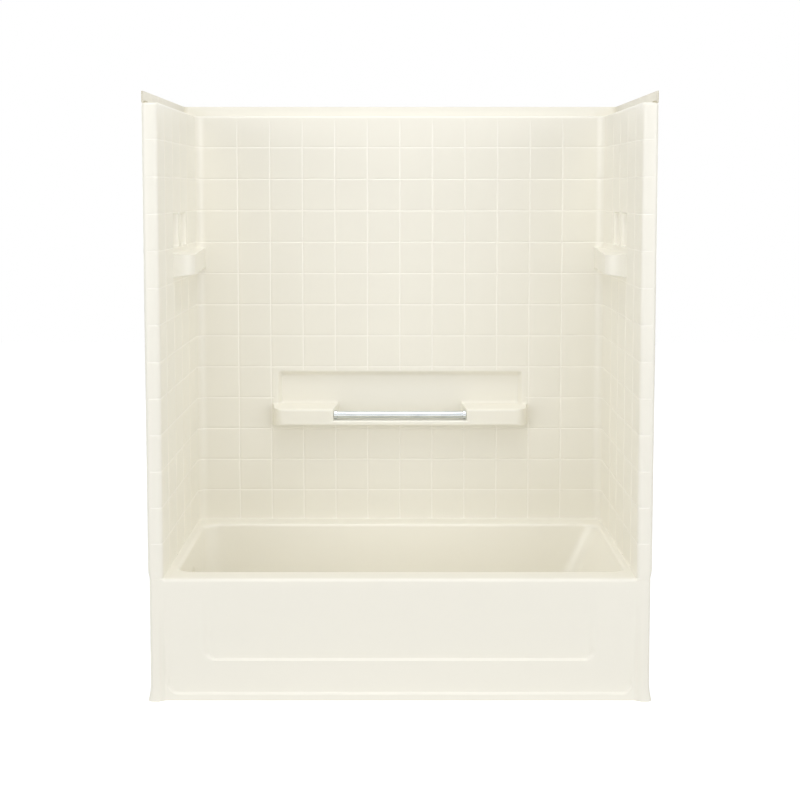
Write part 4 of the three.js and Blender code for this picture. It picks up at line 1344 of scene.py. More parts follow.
@dataclass
class BackWall:
    """The back panel with its recess, shelf unit and trough."""

    sizes: WallSizes
    pattern: TilePattern
    column_pitch: float = 113.1
    niche_half: float = 426.0
    niche_depth: float = 24.0
    plain_half: float = 452.4
    plain_bottom: float = 701.3
    plain_top: float = 920.5
    shelf_reach: float = 78.0
    shelf_half: float = 441.0
    shelf_corner: float = 42.0
    shelf_inner: float = 216.5
    shelf_draft: float = 15.5
    shelf_edge: float = 7.0
    end_fillet: float = 9.0
    blend_width: float = 4.0
    wall_below: float = 690.0
    wall_above: float = 960.0
    under: float = 716.0
    shelf_low: float = 727.5
    shelf_top: float = 781.0
    niche_low: float = 787.0
    niche_top: float = 889.0
    niche_end: float = 903.0
    lip_low: float = 725.5
    lip_top: float = 741.0
    trough_floor: float = 748.0
    seam_fade: Place = (22.0, 14.0)
    side_slope: Place = (-11.0, 5.0)

    def heights(self) -> tuple[Array, Array, Array, Array]:
        """Height lines of the three sections, and the reach of the shelf unit in plan.

        Returns:
            The section through the recess, through the wall beside it, through the trough,
            and the plan of the shelf unit against the distance from the middle.
        """
        reach, depth = self.shelf_reach, -self.niche_depth
        foot = [(self.wall_below, 0.0, 0.0), (self.under, 0.0, 7.0)]
        shelf = [*foot, (self.shelf_low, reach, 8.0), (self.shelf_top, reach, 10.0)]
        end = (self.wall_above, 0.0, 0.0)
        above = [(self.niche_top, depth, 12.0), (self.niche_end, 0.0, 7.0), end]
        niche = rounded_line([*shelf, (self.niche_low, depth, 12.0), *above])
        beside = rounded_line([*shelf, (self.niche_low, 0.0, 8.0), end])
        trough = rounded_line([*foot, (self.lip_low, reach, 5.0), (self.lip_top, reach, 8.0),
                               (self.trough_floor, depth, 10.0), *above])
        start = self.shelf_half - self.shelf_corner
        round_end = [(start + self.shelf_corner * math.sin(t),
                      reach - self.shelf_corner * (1 - math.cos(t)))
                     for t in turns_between(0, 84, 10)]
        tail = [(self.shelf_half + 1.0, 22.0, 3.0), (self.shelf_half + 3.0, 0.0, self.end_fillet),
                (self.shelf_half + 30.0, 0.0, 0.0)]
        plan = np.concatenate([[(0.0, reach)], round_end,
                               rounded_line([(*round_end[-1], 0.0), *tail])[1:]])
        return niche, beside, trough, plan

    def niche_sides(self) -> Place:
        """Where the soft side of the recess starts and ends, from the middle."""
        return self.niche_half + self.side_slope[0], self.niche_half + self.side_slope[1]

    def inner_side(self) -> Array:
        """The plan of a shelf's inner side, against the distance from the middle."""
        reach, foot = self.shelf_reach, self.shelf_inner
        return rounded_line([(foot, -self.niche_depth - 4.0, 0.0),
                             (foot + self.shelf_draft, reach, self.shelf_edge),
                             (foot + self.shelf_draft + 3 * self.shelf_edge, reach, 0.0)])

    def reach(self, x: Array, z: Array) -> Array:
        """How far the face stands out of the wall plane at places on a grid.

        Args:
            x: Places from side to side.
            z: Heights.

        Returns:
            One distance for each place.
        """
        niche, beside, trough, plan = self.heights()
        off = np.abs(x)
        in_niche = 1.0 - smooth_step(off, *self.niche_sides())
        height = blend(height_at(beside, z), height_at(niche, z), in_niche)
        inner = height_at(self.inner_side(), off)
        height = np.maximum(smooth_min(height, inner, self.blend_width),
                            height_at(trough, z))
        limit = height_at(plan, off)
        below = smooth_min(height, limit, self.blend_width)
        return np.where(height > 0.01, np.maximum(below, 0.0), height) + foot_flare(self.sizes, z)

    def columns(self) -> Array:
        """The upright mesh lines.

        Returns:
            The places in rising order.
        """
        count = int(self.sizes.seam_x / self.column_pitch)
        joints = self.column_pitch * np.arange(-count, count + 1)
        plan = self.heights()[3]
        edge = self.sizes.seam_x
        about = self.pattern.level.lines_about(joints)
        return lines(
            steps_between(-edge, edge, 58.0),
            about[np.abs(about) < edge - 12.0], mirrored([edge - 9.0]),
            mirrored(plan[1:-1, 0]),
            mirrored(np.linspace(*self.niche_sides(), 6)),
            mirrored(around(self.shelf_inner, 3.0, 25.0, 14)),
        )

    def rows(self) -> Array:
        """The level mesh lines."""
        niche, beside, trough, _ = self.heights()
        return self.sizes.rows(self.pattern, 18.0, 56.0, niche[1:-1, 0], beside[1:-1, 0],
                               trough[1:-1, 0], gap=0.3)

    def section_top(self) -> list[tuple[float, float]]:
        """Reach and height of the rows over the top roll, the ledge and the flange.

        Returns:
            The points in order.
        """
        sizes = self.sizes
        roll = [(-sizes.top_roll * (1 - math.cos(t)),
                 sizes.top - sizes.top_roll * (1 - math.sin(t)))
                for t in turns_between(0, 90, 7)[1:]]
        flange = sizes.face_y - (sizes.back_y - sizes.sheet)
        rise = rounded_line([(-sizes.top_roll - 2.0, sizes.top, 0.0),
                             (flange, sizes.top, sizes.flange_fillet),
                             (flange, sizes.flange_top, 0.0)], steps=3)
        return roll + [(float(r), float(z)) for r, z in rise]

    def forms(self) -> list[Form]:
        """The sheet with its lips, marked for the tile joints.

        Returns:
            The sheet, then its lips.
        """
        sizes = self.sizes
        x, z = self.columns(), self.rows()
        reach = self.reach(x[:, None] + 0 * z, z + 0 * x[:, None])
        face = np.stack([x[:, None] + 0 * reach, sizes.face_y - reach, z + 0 * reach], -1)
        top = np.array([(sizes.face_y - r, h) for r, h in self.section_top()])
        over = np.stack([np.tile(x[:, None], len(top)), np.tile(top[:, 0], (len(x), 1)),
                         np.tile(top[:, 1], (len(x), 1))], -1)
        face = np.concatenate([face, over], axis=1)
        back = face - grid_normals(face) * sizes.sheet
        form = sheet(face, back)
        form.marks |= self.marks(face)
        plate = sizes.upright_lip((sizes.seam_x - sizes.sheet, sizes.seam_x - 0.6))
        foot = sizes.level_lip((-sizes.seam_x + 1, sizes.seam_x - 1), (
            sizes.face_y + sizes.lip_start, sizes.face_y + sizes.sheet + sizes.foot_lip))
        return [form, plate, plate.flipped(), foot]

    def marks(self, face: Array) -> dict[str, Array]:
        """Where tile joints may run on the face.

        Args:
            face: The points of the face, columns by rows.

        Returns:
            The marks by name.
        """
        x, z = np.abs(face[..., 0]), face[..., 2]
        edge = self.pattern.level.pillow + 1.0
        plain = (x < self.plain_half - edge) & (z > self.plain_bottom + edge) \
            & (z < self.plain_top - edge)
        level = np.where(plain, 0.0, 1.0)
        first, last = self.seam_fade
        at_seam = smooth_step(x, self.sizes.seam_x - first, self.sizes.seam_x - last)
        return wall_marks(self.sizes, z, level, level * (1 - at_seam), np.zeros(level.shape),
                          np.ones(level.shape))

    def build(self, finishes: Finishes, joints: GeometryTree) -> None:
        """Makes the panel and sinks its tile joints.

        Args:
            finishes: Every finish of the object.
            joints: The tree that sinks the tile joints.
        """
        finish_piece("back_wall", self.forms(), finishes.moulding, "back_wall_panel", sharp=40.0,
                     tree=joints, values={
                         **self.pattern.inputs(), **self.pattern.level.inputs("Column"),
                         "Column Pitch": self.column_pitch * MM, "First Column": 0.0,
                         "Column Direction": (1.0, 0.0, 0.0)})


WALL, CORNER, COLUMN = 1, 2, 3


@dataclass
class EndWall:
    """An end panel with its corner, front column, soap ledge and bottle recesses."""

    side: int
    sizes: WallSizes
    pattern: TilePattern
    upright: Joint = Joint(6.2, 2.0, 17.0, 0.9)
    column_pitch: float = 139.0
    first_column: float = -256.0
    column_roll: float = 14.0
    edge_roll: float = 2.5
    # Share of the rough back colour painted onto the end-wall flanges as shade.
    flange_painted_shade: float = 0.32
    column_return: float = 46.0
    ledge_bottom: float = 1272.0
    ledge_top: float = 1337.0
    ledge_reach: float = 64.0
    ledge_tail: float = 28.0
    ledge_front: float = -131.0
    ledge_span: Place = (1240.0, 1352.0)
    nose: float = 39.0
    side_lines: Place = (-350.0, -340.0)
    recess_low: float = 1360.0
    recess_high: float = 1466.0
    recess_depth: float = 22.0
    recess_half: float = 50.0
    recess_middles: Place = (74.0, -74.0)
    recess_ease: float = 5.0
    ledge_blend: float = 9.0
    toe_notch: float = 5.0
    toe_height: float = 27.0
    plain_front: float = -117.0
    plain_back: float = 139.0
    plain_rows: tuple[int, int] = (7, 9)
    joint_end: Place = (741.0, 746.0)

    def corner_centre(self) -> Place:
        """The middle of the round corner in plan."""
        return self.sizes.seam_x, self.sizes.face_y - self.sizes.corner_radius

    def wall_lines(self) -> Array:
        """The mesh lines along the flat wall, from the column to the corner.

        Returns:
            The places in rising order.
        """
        start = self.sizes.front_y + self.column_roll
        end = self.sizes.face_y - self.sizes.corner_radius
        joints = self.first_column + self.column_pitch * np.arange(4)
        flutes = [middle + self.recess_half * math.sin(t)
                  for middle in self.recess_middles for t in turns_between(-90, 90, 17)]
        nose = [self.ledge_front + self.nose * (1 - math.cos(t))
                for t in turns_between(0, 90, 13)]
        nose += [self.ledge_front - 6.0, self.ledge_front - 3.0]
        return lines([start, end], steps_between(start, end, 36.0),
                     self.upright.lines_about(joints), flutes, nose)

    def path(self) -> tuple[Array, Array, Array]:
        """The face in plan from the seam to the end of the column's return.

        Returns:
            The points, their normals towards the room, and the kind of place of each:
            WALL, CORNER or COLUMN.
        """
        sizes, roll = self.sizes, self.column_roll
        corner, rays = bend(self.corner_centre(), sizes.corner_radius, 90, 0, 13)
        wall = at_x(sizes.face_x, self.wall_lines()[::-1])
        front = sizes.front_y + roll
        inner, into = bend((sizes.face_x + roll, front), roll, 180, 270, 9)
        outer, out = bend((sizes.side_x - roll, front), roll, 270, 360, 9)
        side = at_x(sizes.side_x, [*self.side_lines, sizes.front_y + self.column_return])
        runs = ((corner[:-1], -rays[:-1], CORNER), (wall, np.array([-1.0, 0.0]), WALL),
                (inner[1:], into[1:], COLUMN), (outer, out, COLUMN),
                (side, np.array([1.0, 0.0]), COLUMN))
        return (np.concatenate([places for places, _, _ in runs]),
                np.concatenate([np.broadcast_to(ray, places.shape) for places, ray, _ in runs]),
                np.concatenate([np.full(len(places), kind) for places, _, kind in runs]))

    def ledge_section(self) -> Array:
        """Reach of the soap ledge against height, for a ledge of full depth.

        Returns:
            The points in order.
        """
        low, high = self.ledge_bottom, self.ledge_top
        far = 90.0
        return rounded_line([(self.ledge_span[0], 0.0, 0.0), (low - 5.0, 0.0, 6.0),
                             (low + 4.0, far, 0.0), (high - 1.0, far, 0.0),
                             (high + 2.0, 0.0, 5.0), (self.ledge_span[1], 0.0, 0.0)])

    def rows(self) -> Array:
        """The level mesh lines.

        Returns:
            The places in rising order.
        """
        toe = self.sizes.foot + np.array([9.0, 14.0, 20.0, self.toe_height])
        return self.sizes.rows(
            self.pattern, 38.0, 38.0, around(self.ledge_bottom, 9, 14, 16),
            around(self.ledge_top, 14, 7, 15), around(self.recess_low, 4, 8, 8),
            around(self.recess_high, 8, 4, 8), toe, gap=0.12)

    def reach(self, points: Array, normals: Array, kinds: Array, z: Array) -> Array:
        """How far the face stands out of its path at each place on the grid.

        Args:
            points: The points of the path in plan.
            normals: The normal of the face at each of them.
            kinds: The kind of place of each.
            z: The heights of the mesh lines.

        Returns:
            One distance for each point and height.
        """
        y = points[:, 1]
        tail_y, front_y = self.sizes.face_y, self.ledge_front
        nose = self.nose
        along = np.clip((y - front_y - nose) / (tail_y - front_y - nose), 0.0, 1.0)
        plan = blend(self.ledge_reach, self.ledge_tail, along)
        inside = np.clip((y - front_y) / nose, 0.0, 1.0)
        plan = plan * np.sqrt(np.clip(1.0 - (1.0 - inside) ** 2, 0.0, 1.0))
        corner = self.sizes.corner_radius
        spoke = np.maximum(-normals[:, 0], 1e-3)
        in_corner = np.maximum(0.0, corner - (corner - self.ledge_tail) / spoke)
        plan = np.where(kinds == CORNER, in_corner, np.where(kinds == WALL, plan, 0.0))
        section = height_at(self.ledge_section(), z)
        ledge = smooth_min(plan[:, None] + 0 * z, section + 0 * plan[:, None],
                           self.ledge_blend)
        ledge = np.where((plan[:, None] > 0.01) & (section > 0.01), np.maximum(ledge, 0.0), 0.0)
        flute = np.zeros(len(y))
        for middle in self.recess_middles:
            off = np.clip(np.abs(y - middle) / self.recess_half, 0.0, 1.0)
            flute = np.maximum(flute, self.recess_depth * np.sqrt(1.0 - off * off))
        flute = np.where(kinds == WALL, flute, 0.0)
        low, high = self.recess_low - 2, self.recess_high + 2
        share = smooth_step(z, low, low + self.recess_ease) \
            * (1.0 - smooth_step(z, high - self.recess_ease, high))
        flare = np.where(kinds == COLUMN, 0.0, 1.0)[:, None] * foot_flare(self.sizes, z)
        return ledge - flute[:, None] * share + flare

    def flange_foot(self, points: Array, kinds: Array) -> Array:
        """Where each line of the face reaches the foot of the nailing flange.

        Args:
            points: The points of the path in plan.
            kinds: The kind of place of each.

        Returns:
            One place in plan for each point.
        """
        sizes = self.sizes
        outer = np.array([sizes.side_x - sizes.sheet, sizes.back_y - sizes.sheet])
        centre = np.array(self.corner_centre())
        spoke = points - centre
        scale = ((outer - centre) / np.maximum(spoke, 1e-6)).min(axis=1)[:, None]
        feet = np.where(kinds[:, None] == CORNER, centre + spoke * scale, points)
        feet[kinds != CORNER, 0] = outer[0]
        feet[kinds == COLUMN, 1] = sizes.front_y + self.column_roll
        return feet

    def forms(self) -> list[Form]:
        """The sheet of the right-hand panel with its lips, marked for the tile joints and painted
        shade.

        Returns:
            The sheet, then its lips.
        """
        sizes = self.sizes
        points, normals, kinds = self.path()
        z = self.rows()
        reach = self.reach(points, normals, kinds, z)
        plan = points[:, None, :] + normals[:, None, :] * reach[..., None]
        notch = self.toe_notch * np.clip(1 - (z - sizes.foot) / self.toe_height, 0, 1) ** 2
        outer = points[:, 0] - (sizes.side_x - self.column_roll)
        outer = np.clip(outer / self.column_roll, 0, 1)
        plan[..., 0] -= outer[:, None] * notch
        face = np.concatenate([plan, np.tile(z, (len(points), 1))[..., None]], axis=-1)
        feet = self.flange_foot(points, kinds)
        over: list[Array] = []
        turned_by = np.clip(-normals[:, 0], 0.0, 1.0)
        along = blend(sizes.top_roll, self.edge_roll, turned_by)
        roll = np.where(kinds == COLUMN, self.column_roll, along)[:, None]
        for turn in turns_between(0, 90, 8)[1:]:
            place = points - normals * roll * (1 - math.cos(turn))
            height = sizes.top - sizes.top_roll * (1 - math.sin(turn))
            over.append(at_height(place, height))
        rim = over[-1][:, :2]
        over += [at_height(blend(rim, feet, share), sizes.top) for share in (0.15, 0.5, 0.85)]
        over += [at_height(feet, sizes.top + height)
                 for height in (0.0, 0.6, 12.0, sizes.flange_top - sizes.top)]
        face = np.concatenate([face, np.stack(over, axis=1)], axis=1)
        back = face - grid_normals(face) * sizes.sheet
        form = sheet(face, back)
        form.marks |= self.marks(face, normals, kinds)
        # Painted shade: the face of the nailing flange is mixed partway to the rough fibre colour
        # to stand in for the shade it lies in.
        backing = form.marks["backing"]
        on_flange = (form.points[:, 2] > sizes.top + 0.3) & (backing < 0.5) \
            & (form.points[:, 0] > sizes.side_x - sizes.sheet - 1)
        form.marks["backing"] = np.where(on_flange, self.flange_painted_shade, backing)
        lip = sizes.upright_lip((sizes.seam_x + 0.8, sizes.seam_x + sizes.sheet))
        foot = sizes.level_lip(
            (sizes.face_x + sizes.lip_start, sizes.face_x + sizes.sheet + sizes.foot_lip),
            (sizes.front_y + self.column_return, sizes.face_y - sizes.corner_radius))
        return [form, lip, foot]

    def marks(self, face: Array, normals: Array, kinds: Array) -> dict[str, Array]:
        """Where tile joints may run on the face, and which way they sink.

        Args:
            face: The points of the face, columns by rows.
            normals: The normal of the face at each of them.
            kinds: The kind of place of each.

        Returns:
            The marks by name.
        """
        x, y, z = face[..., 0], face[..., 1], face[..., 2]
        kind = kinds[:, None] + np.zeros(z.shape, int)
        rows = self.pattern.row_heights()
        low, high = rows[list(self.plain_rows)]
        edge = self.pattern.level.pillow + 1.0
        plain = (y > self.plain_front - edge) & (y < self.plain_back) \
            & (z > low + edge) & (z < high - edge)
        on_ledge = (y > self.ledge_front - 8) & (z > self.ledge_bottom - 10) \
            & (z < self.ledge_top + 8)
        level = np.where(plain | on_ledge, 0.0, 1.0)
        level = level * np.where(kind == COLUMN, 1 - smooth_step(x, *self.joint_end), 1.0)
        upright = np.where((kind == WALL) & ~plain & ~on_ledge, 1.0, 0.0)
        into = np.repeat(-normals[:, None, :], z.shape[1], axis=1)
        return wall_marks(self.sizes, z, level, upright, into[..., 0], into[..., 1])

    def build(self, finishes: Finishes, joints: GeometryTree) -> None:
        """Makes the panel and sinks its tile joints.

        Args:
            finishes: Every finish of the object.
            joints: The tree that sinks the tile joints.
        """
        label = "right" if self.side > 0 else "left"
        forms = self.forms()
        forms = forms if self.side > 0 else [form.flipped() for form in forms]
        finish_piece(f"{label}_wall", forms, finishes.moulding, f"{label}_wall_panel", sharp=40.0,
                     tree=joints, values={
                         **self.pattern.inputs(), **self.upright.inputs("Column"),
                         "Column Pitch": self.column_pitch * MM,
                         "First Column": self.first_column * MM,
                         "Column Direction": (0.0, 1.0, 0.0)})


# Bath


@dataclass
class Bath:
    """The bath in one moulding: apron, front columns, rolled edge, deck and basin."""

    side_x: float = 753.0
    front_y: float = -376.0
    back_y: float = 381.0
    deck: float = 376.0
    sheet: float = 5.0
    corner: float = 12.0
    side_return: float = 60.0
    toe_flare: float = 9.0
    toe_reach: float = 5.0
    toe_height: float = 60.0
    front_roll: float = 11.0
    edge_roll: float = 0.8
    apron_half: float = 705.0
    apron_side: float = 22.0
    column_edge: float = 729.0
    skirt_height: float = 17.0
    skirt_setback: float = 10.0
    skirt_slope: Place = (18.0, 70.0)
    side_lines: Place = (36.0, 22.0)
    square: float = 0.99
    roll_clear: float = 1.0
    roll_fade: Place = (2.0, 14.0)
    no_floor: float = -2000.0
    apron_setback: float = 18.0
    apron_corner: float = 35.0
    panel_setback: float = 9.0
    panel_half: float = 598.0
    panel_floor: float = 120.0
    panel_corner: float = 38.0
    panel_side: float = 30.0
    relief: float = 7.0
    rim_left: float = -693.0
    rim_right: float = 700.0
    rim_front: float = -305.0
    rim_back: float = 291.0
    rim_roll: float = 12.0
    cove: float = 40.0
    floor: float = 65.0
    rim_corner: float = 55.0
    floor_corner: float = 70.0
    left_draft: float = 6.0
    backrest_run: float = 116.0
    end_draft: float = 14.0
    drain: Place = (-532.0, -7.0)
    drain_radius: float = 26.0
    overflow: Place = (-7.0, 255.0)
    pad_side: float = -600.0
    pad_face: float = -683.0
    pad_radius: float = 44.0
    pad_hole: float = 28.0
    pad_slope: float = 4.0
    pad_snap: float = 2.6
    wall_clear: float = 14.0
    upstand: float = 20.0
    upstand_edge: float = 1.4

    def pocket(self, x: Array, z: Array, half: float, floor: float, radius: float,
               side: float) -> Array:
        """1 inside a pocket open at its top and round at its lower corners, 0 outside.

        Args:
            x: Places from side to side.
            z: Heights.
            half: Half the width of the pocket.
            floor: Height of its lower edge.
            radius: Radius of its lower corners.
            side: Width of the slope along its upright edges.

        Returns:
            The share of the pocket's depth at each place.
        """
        right = np.abs(x) - (half - radius)
        below = floor + radius - z
        both = (right > 0) & (below > 0)
        corner = np.where(both, np.hypot(right, below), np.maximum(right, below))
        down = np.arctan2(np.maximum(below, 0.0), np.maximum(right, 1e-6)) / (math.pi / 2)
        width = blend(side, self.relief, down)
        return 1.0 - smooth_step((corner - radius) / width, -1.0, 0.0)

    def apron_depth(self, x: Array, z: Array) -> Array:
        """How far the apron lies behind the face of the columns.

        Args:
            x: Places from side to side.
            z: Heights.

        Returns:
            The depth at each place.
        """
        roll_foot = self.deck - self.front_roll
        between = self.pocket(x, z, self.column_edge, self.no_floor, self.apron_corner,
                              self.apron_side)
        above = self.pocket(x, z, self.apron_half, self.skirt_height, self.apron_corner,
                            self.relief)
        first, last = self.skirt_slope
        above = np.maximum(above, smooth_step(z, self.skirt_height + first,
                                              self.skirt_height + last))
        inside = self.pocket(x, z, self.panel_half, self.panel_floor, self.panel_corner,
                             self.panel_side)
        face = self.apron_setback * (1.0 - np.minimum(z, roll_foot) / roll_foot)
        skirt = np.minimum(self.skirt_setback, face)
        fade = np.clip((roll_foot - z) / (roll_foot - self.panel_floor), 0.0, 1.0)
        base = blend(skirt, face, above) * between
        return base + self.panel_setback * fade * inside

    def front_columns(self) -> Array:
        """The upright mesh lines across the front, between the two corners.

        Returns:
            The places in rising order.
        """
        end = self.side_x - self.corner
        return lines([-end, end], steps_between(-end, end, 46.0),
                     mirrored(around(self.panel_half, 46, 2, 23)),
                     mirrored(around(self.apron_half, 43, 9, 25)),
                     mirrored(around(self.column_edge, 24, 3, 11)), gap=1.2)

    def skin_rows(self) -> Array:
        """The level mesh lines up to the foot of the roll."""
        foot = self.deck - self.front_roll
        return lines([0.0, foot], steps_between(0.0, foot, 24.0), np.linspace(0.0, 16.0, 5),
                     around(self.skirt_height, 2, 37, 19),
                     around(self.panel_floor, 2, 40, 20), gap=1.2)

    def skin(self) -> Form:
        """The apron with both columns, from the floor over the roll to the deck.

        Returns:
            The closed form.
        """
        x, corner = self.front_columns(), self.corner
        side = at_x(-self.side_x, [self.front_y + self.side_return,
                                   *(self.front_y + off for off in self.side_lines)])
        edge, rays = bend((-self.side_x + corner, self.front_y + corner), corner, 180, 270, 8)
        left = np.concatenate([side, edge])
        left_normals = np.concatenate([np.tile((-1.0, 0.0), (len(side), 1)), rays])
        front = np.column_stack([x[1:-1], np.full(len(x) - 2, self.front_y)])
        mirror = np.array([-1.0, 1.0])
        points = np.concatenate([left, front, left[::-1] * mirror])
        facing = np.concatenate([left_normals, np.tile((0.0, -1.0), (len(front), 1)),
                                 left_normals[::-1] * mirror])
        rows = self.skin_rows()
        toe = (1.0 - np.minimum(1.0, rows / self.toe_height)) ** 2
        depth = self.apron_depth(points[:, :1], rows[None, :])
        depth = np.where(np.abs(facing[:, 1:]) > self.square, depth, 0.0)
        grid = np.zeros((len(points), len(rows), 3))
        grid[..., 0] = points[:, :1] + facing[:, :1] * self.toe_flare * toe
        grid[..., 1] = points[:, 1:] + facing[:, 1:] * self.toe_reach * toe + depth
        grid[..., 2] = rows
        limit = self.side_x - self.sheet
        inner = np.column_stack([
            np.clip(points[:, 0], -limit, limit),
            np.maximum(points[:, 1], self.front_y + self.front_roll + self.roll_clear)])
        middle = np.abs(points[:, 0])
        first, last = self.roll_fade
        roll = blend(self.front_roll, self.edge_roll,
                     smooth_step(middle, self.apron_half + first, self.apron_half + last))
        on_side = np.abs(facing[:, 0]) > self.square
        span = np.where(on_side, self.sheet, self.front_roll + self.roll_clear)
        over = [at_height(points, self.deck - blend(self.front_roll, roll, share))
                for share in (0.25, 0.5, 0.75, 1.0)]
        for turn in turns_between(0, 90, 10)[1:]:
            in_share = roll * (1 - math.cos(turn)) / span
            place = points + (inner - points) * in_share[:, None]
            over.append(at_height(place, self.deck - roll * (1 - math.sin(turn))))
        over.append(at_height(inner, self.deck))
        face = np.concatenate([grid, np.stack(over, axis=1)], axis=1)
        back = face - grid_normals(face) * self.sheet
        back[..., 2] = np.maximum(back[..., 2], 0.0)
        return sheet(face, back)

    def ring(self, inset: float, slope: float, grow: float) -> Array:
        """One level of the basin in plan, as a closed ring with the same layout at each level.

        Args:
            inset: How far the ring lies inside the rim.
            slope: Its share of the way from the rim to the floor.
            grow: How far it lies behind the face.

        Returns:
            The points in order.
        """
        radius = blend(self.rim_corner, self.floor_corner, slope) + grow
        x0 = self.rim_left + inset + self.left_draft * slope - grow
        x1 = self.rim_right - inset - self.backrest_run * slope + grow
        y0 = self.rim_front + inset + self.end_draft * slope - grow
        y1 = self.rim_back - inset - self.end_draft * slope + grow
        dense = np.concatenate([np.linspace(0, 0.36, 6), np.linspace(0.37, 0.63, 27),
                                np.linspace(0.64, 1, 6)])[1:-1]
        plain = np.linspace(0, 1, 14)[1:-1]
        long = np.linspace(0, 1, 24)[1:-1]
        left, right, low, high = x0 + radius, x1 - radius, y0 + radius, y1 - radius
        return np.array([
            *arc((right, low), radius, -90, 0, 12), *((x1, blend(low, high, s)) for s in plain),
            *arc((right, high), radius, 0, 90, 12), *((blend(right, left, s), y1) for s in long),
            *arc((left, high), radius, 90, 180, 12), *((x0, blend(high, low, s)) for s in dense),
            *arc((left, low), radius, 180, 270, 12), *((blend(left, right, s), y0) for s in long)])

    def deck_edge(self) -> Array:
        """The outer edge of the deck, with a point for each point of the basin's rim.

        Returns:
            The points in order.
        """
        rim, radius = self.ring(0.0, 0.0, 0.0), self.rim_corner
        x0, x1 = -self.side_x + self.sheet, self.side_x - self.sheet
        y0 = self.front_y + self.front_roll + self.roll_clear
        y1 = self.back_y - self.sheet
        centre = np.clip(rim, (self.rim_left + radius, self.rim_front + radius),
                         (self.rim_right - radius, self.rim_back - radius))
        spoke = rim - centre
        along = np.abs(spoke) < 1e-6
        far = np.where(spoke > 0, (x1, y1), (x0, y0))
        scale = np.where(along, np.inf, (far - centre) / np.where(along, 1.0, spoke))
        edge = np.where(along, rim, centre + spoke * scale.min(axis=1, keepdims=True))
        for corner in ((x0, y0), (x1, y0), (x0, y1), (x1, y1)):
            nearest = int(np.argmin(np.hypot(edge[:, 0] - corner[0], edge[:, 1] - corner[1])))
            edge[nearest] = corner
        return edge

    def levels(self) -> list[tuple[Array, float, Array, float]]:
        """Each level of the deck and basin: face ring, its height, back ring, its height.

        Returns:
            One entry for each level, from the edge of the deck to the drain.
        """
        made = [(self.deck_edge(), self.deck, self.deck_edge(), self.deck - self.sheet)]
        centre = self.deck - self.rim_roll
        inner_roll = self.rim_roll - self.sheet
        for turn in turns_between(0, 90, 9):
            inset, grow = self.rim_roll * math.sin(turn), self.sheet * math.sin(turn)
            made.append((self.ring(inset, 0.0, 0.0), centre + self.rim_roll * math.cos(turn),
                         self.ring(inset, 0.0, grow), centre + inner_roll * math.cos(turn)))
        cove_top = self.floor + self.cove
        low, high = cove_top + self.wall_clear, centre - self.wall_clear
        heights = lines([low, high], steps_between(low, high, 20),
                        around(self.overflow[1], 54, 54, 28), gap=2.5)[::-1]
        for z in heights:
            slope = (centre - z) / (centre - cove_top)
            made.append((self.ring(self.rim_roll, slope, 0.0), z,
                         self.ring(self.rim_roll, slope, self.sheet), z))
        for turn in turns_between(0, 90, 11):
            inset = self.rim_roll + self.cove * (1 - math.cos(turn))
            made.append((self.ring(inset, 1.0, 0.0), cove_top - self.cove * math.sin(turn),
                         self.ring(inset, 1.0, self.sheet * math.cos(turn)),
                         cove_top - (self.cove + self.sheet) * math.sin(turn)))
        last = made[-1][0]
        drain = np.array(self.drain)
        spoke = last - drain
        hole = drain + spoke / np.linalg.norm(spoke, axis=1, keepdims=True) * self.drain_radius
        for share in (0.04, 0.3, 0.6, 0.9, 1.0):
            place = blend(last, hole, share)
            made.append((place, self.floor, place, self.floor - self.sheet))
        return made

    def with_pad(self, grid: Array, face_x: float, radius: float) -> Array:
        """The basin with the flat round pad for the overflow pressed into its left end.

        Args:
            grid: The points of the basin, ring by level.
            face_x: X of the pad's face.
            radius: Radius of the pad.

        Returns:
            The points with the pad.
        """
        y, z = grid[..., 1] - self.overflow[0], grid[..., 2] - self.overflow[1]
        off = np.hypot(y, z)
        at_end = grid[..., 0] < self.pad_side
        share = 1.0 - smooth_step(off, radius, radius + self.pad_slope)
        out = grid.copy()
        out[..., 0] = blend(grid[..., 0], face_x, np.where(at_end, share, 0.0))
        rim = at_end & (np.abs(off - self.pad_hole) < self.pad_snap)
        scale = np.where(rim, self.pad_hole / np.maximum(off, 1e-6), 1.0)
        out[..., 1] = self.overflow[0] + y * scale
        out[..., 2] = self.overflow[1] + z * scale
        return out

    def basin(self) -> Form:
        """The deck with the basin, the drain hole and the overflow hole.

        Returns:
            The closed form.
        """
        levels = self.levels()
        face = np.stack([at_height(ring, z) for ring, z, _, _ in levels], axis=1)
        back = np.stack([at_height(ring, z) for _, _, ring, z in levels], axis=1)
        face = self.with_pad(face, self.pad_face, self.pad_radius)
        back = self.with_pad(back, self.pad_face - self.pad_slope,
                             self.pad_radius + self.pad_slope)
        following = np.roll(face, -1, axis=0)
        middle = (face[:, :-1] + face[:, 1:] + following[:, :-1] + following[:, 1:]) / 4
        off = np.hypot(middle[..., 1] - self.overflow[0], middle[..., 2] - self.overflow[1])
        hole = (off < self.pad_hole) & (middle[..., 0] < self.pad_side)
        return sheet(face, back, closed=True, hole=hole)

    def upstands(self) -> list[Form]:
        """The flange behind the wall panels along the back and both ends.

        Returns:
            The three strips.
        """
        low, high = self.deck - self.sheet, self.deck + self.upstand
        inner = self.side_x - self.sheet
        back = block((-self.side_x, self.side_x), (self.back_y - self.sheet, self.back_y),
                     (low, high), self.upstand_edge)
        end = block((inner, self.side_x), (self.front_y + self.side_return, self.back_y),
                    (low, high), self.upstand_edge)
        return [back, end, end.flipped()]

    def build(self, finishes: Finishes) -> None:
        """Makes the bath."""
        forms = [self.skin(), self.basin(), *self.upstands()]
        finish_piece("bath", forms, finishes.moulding, "bath_shell", sharp=40.0)


# Towel bar


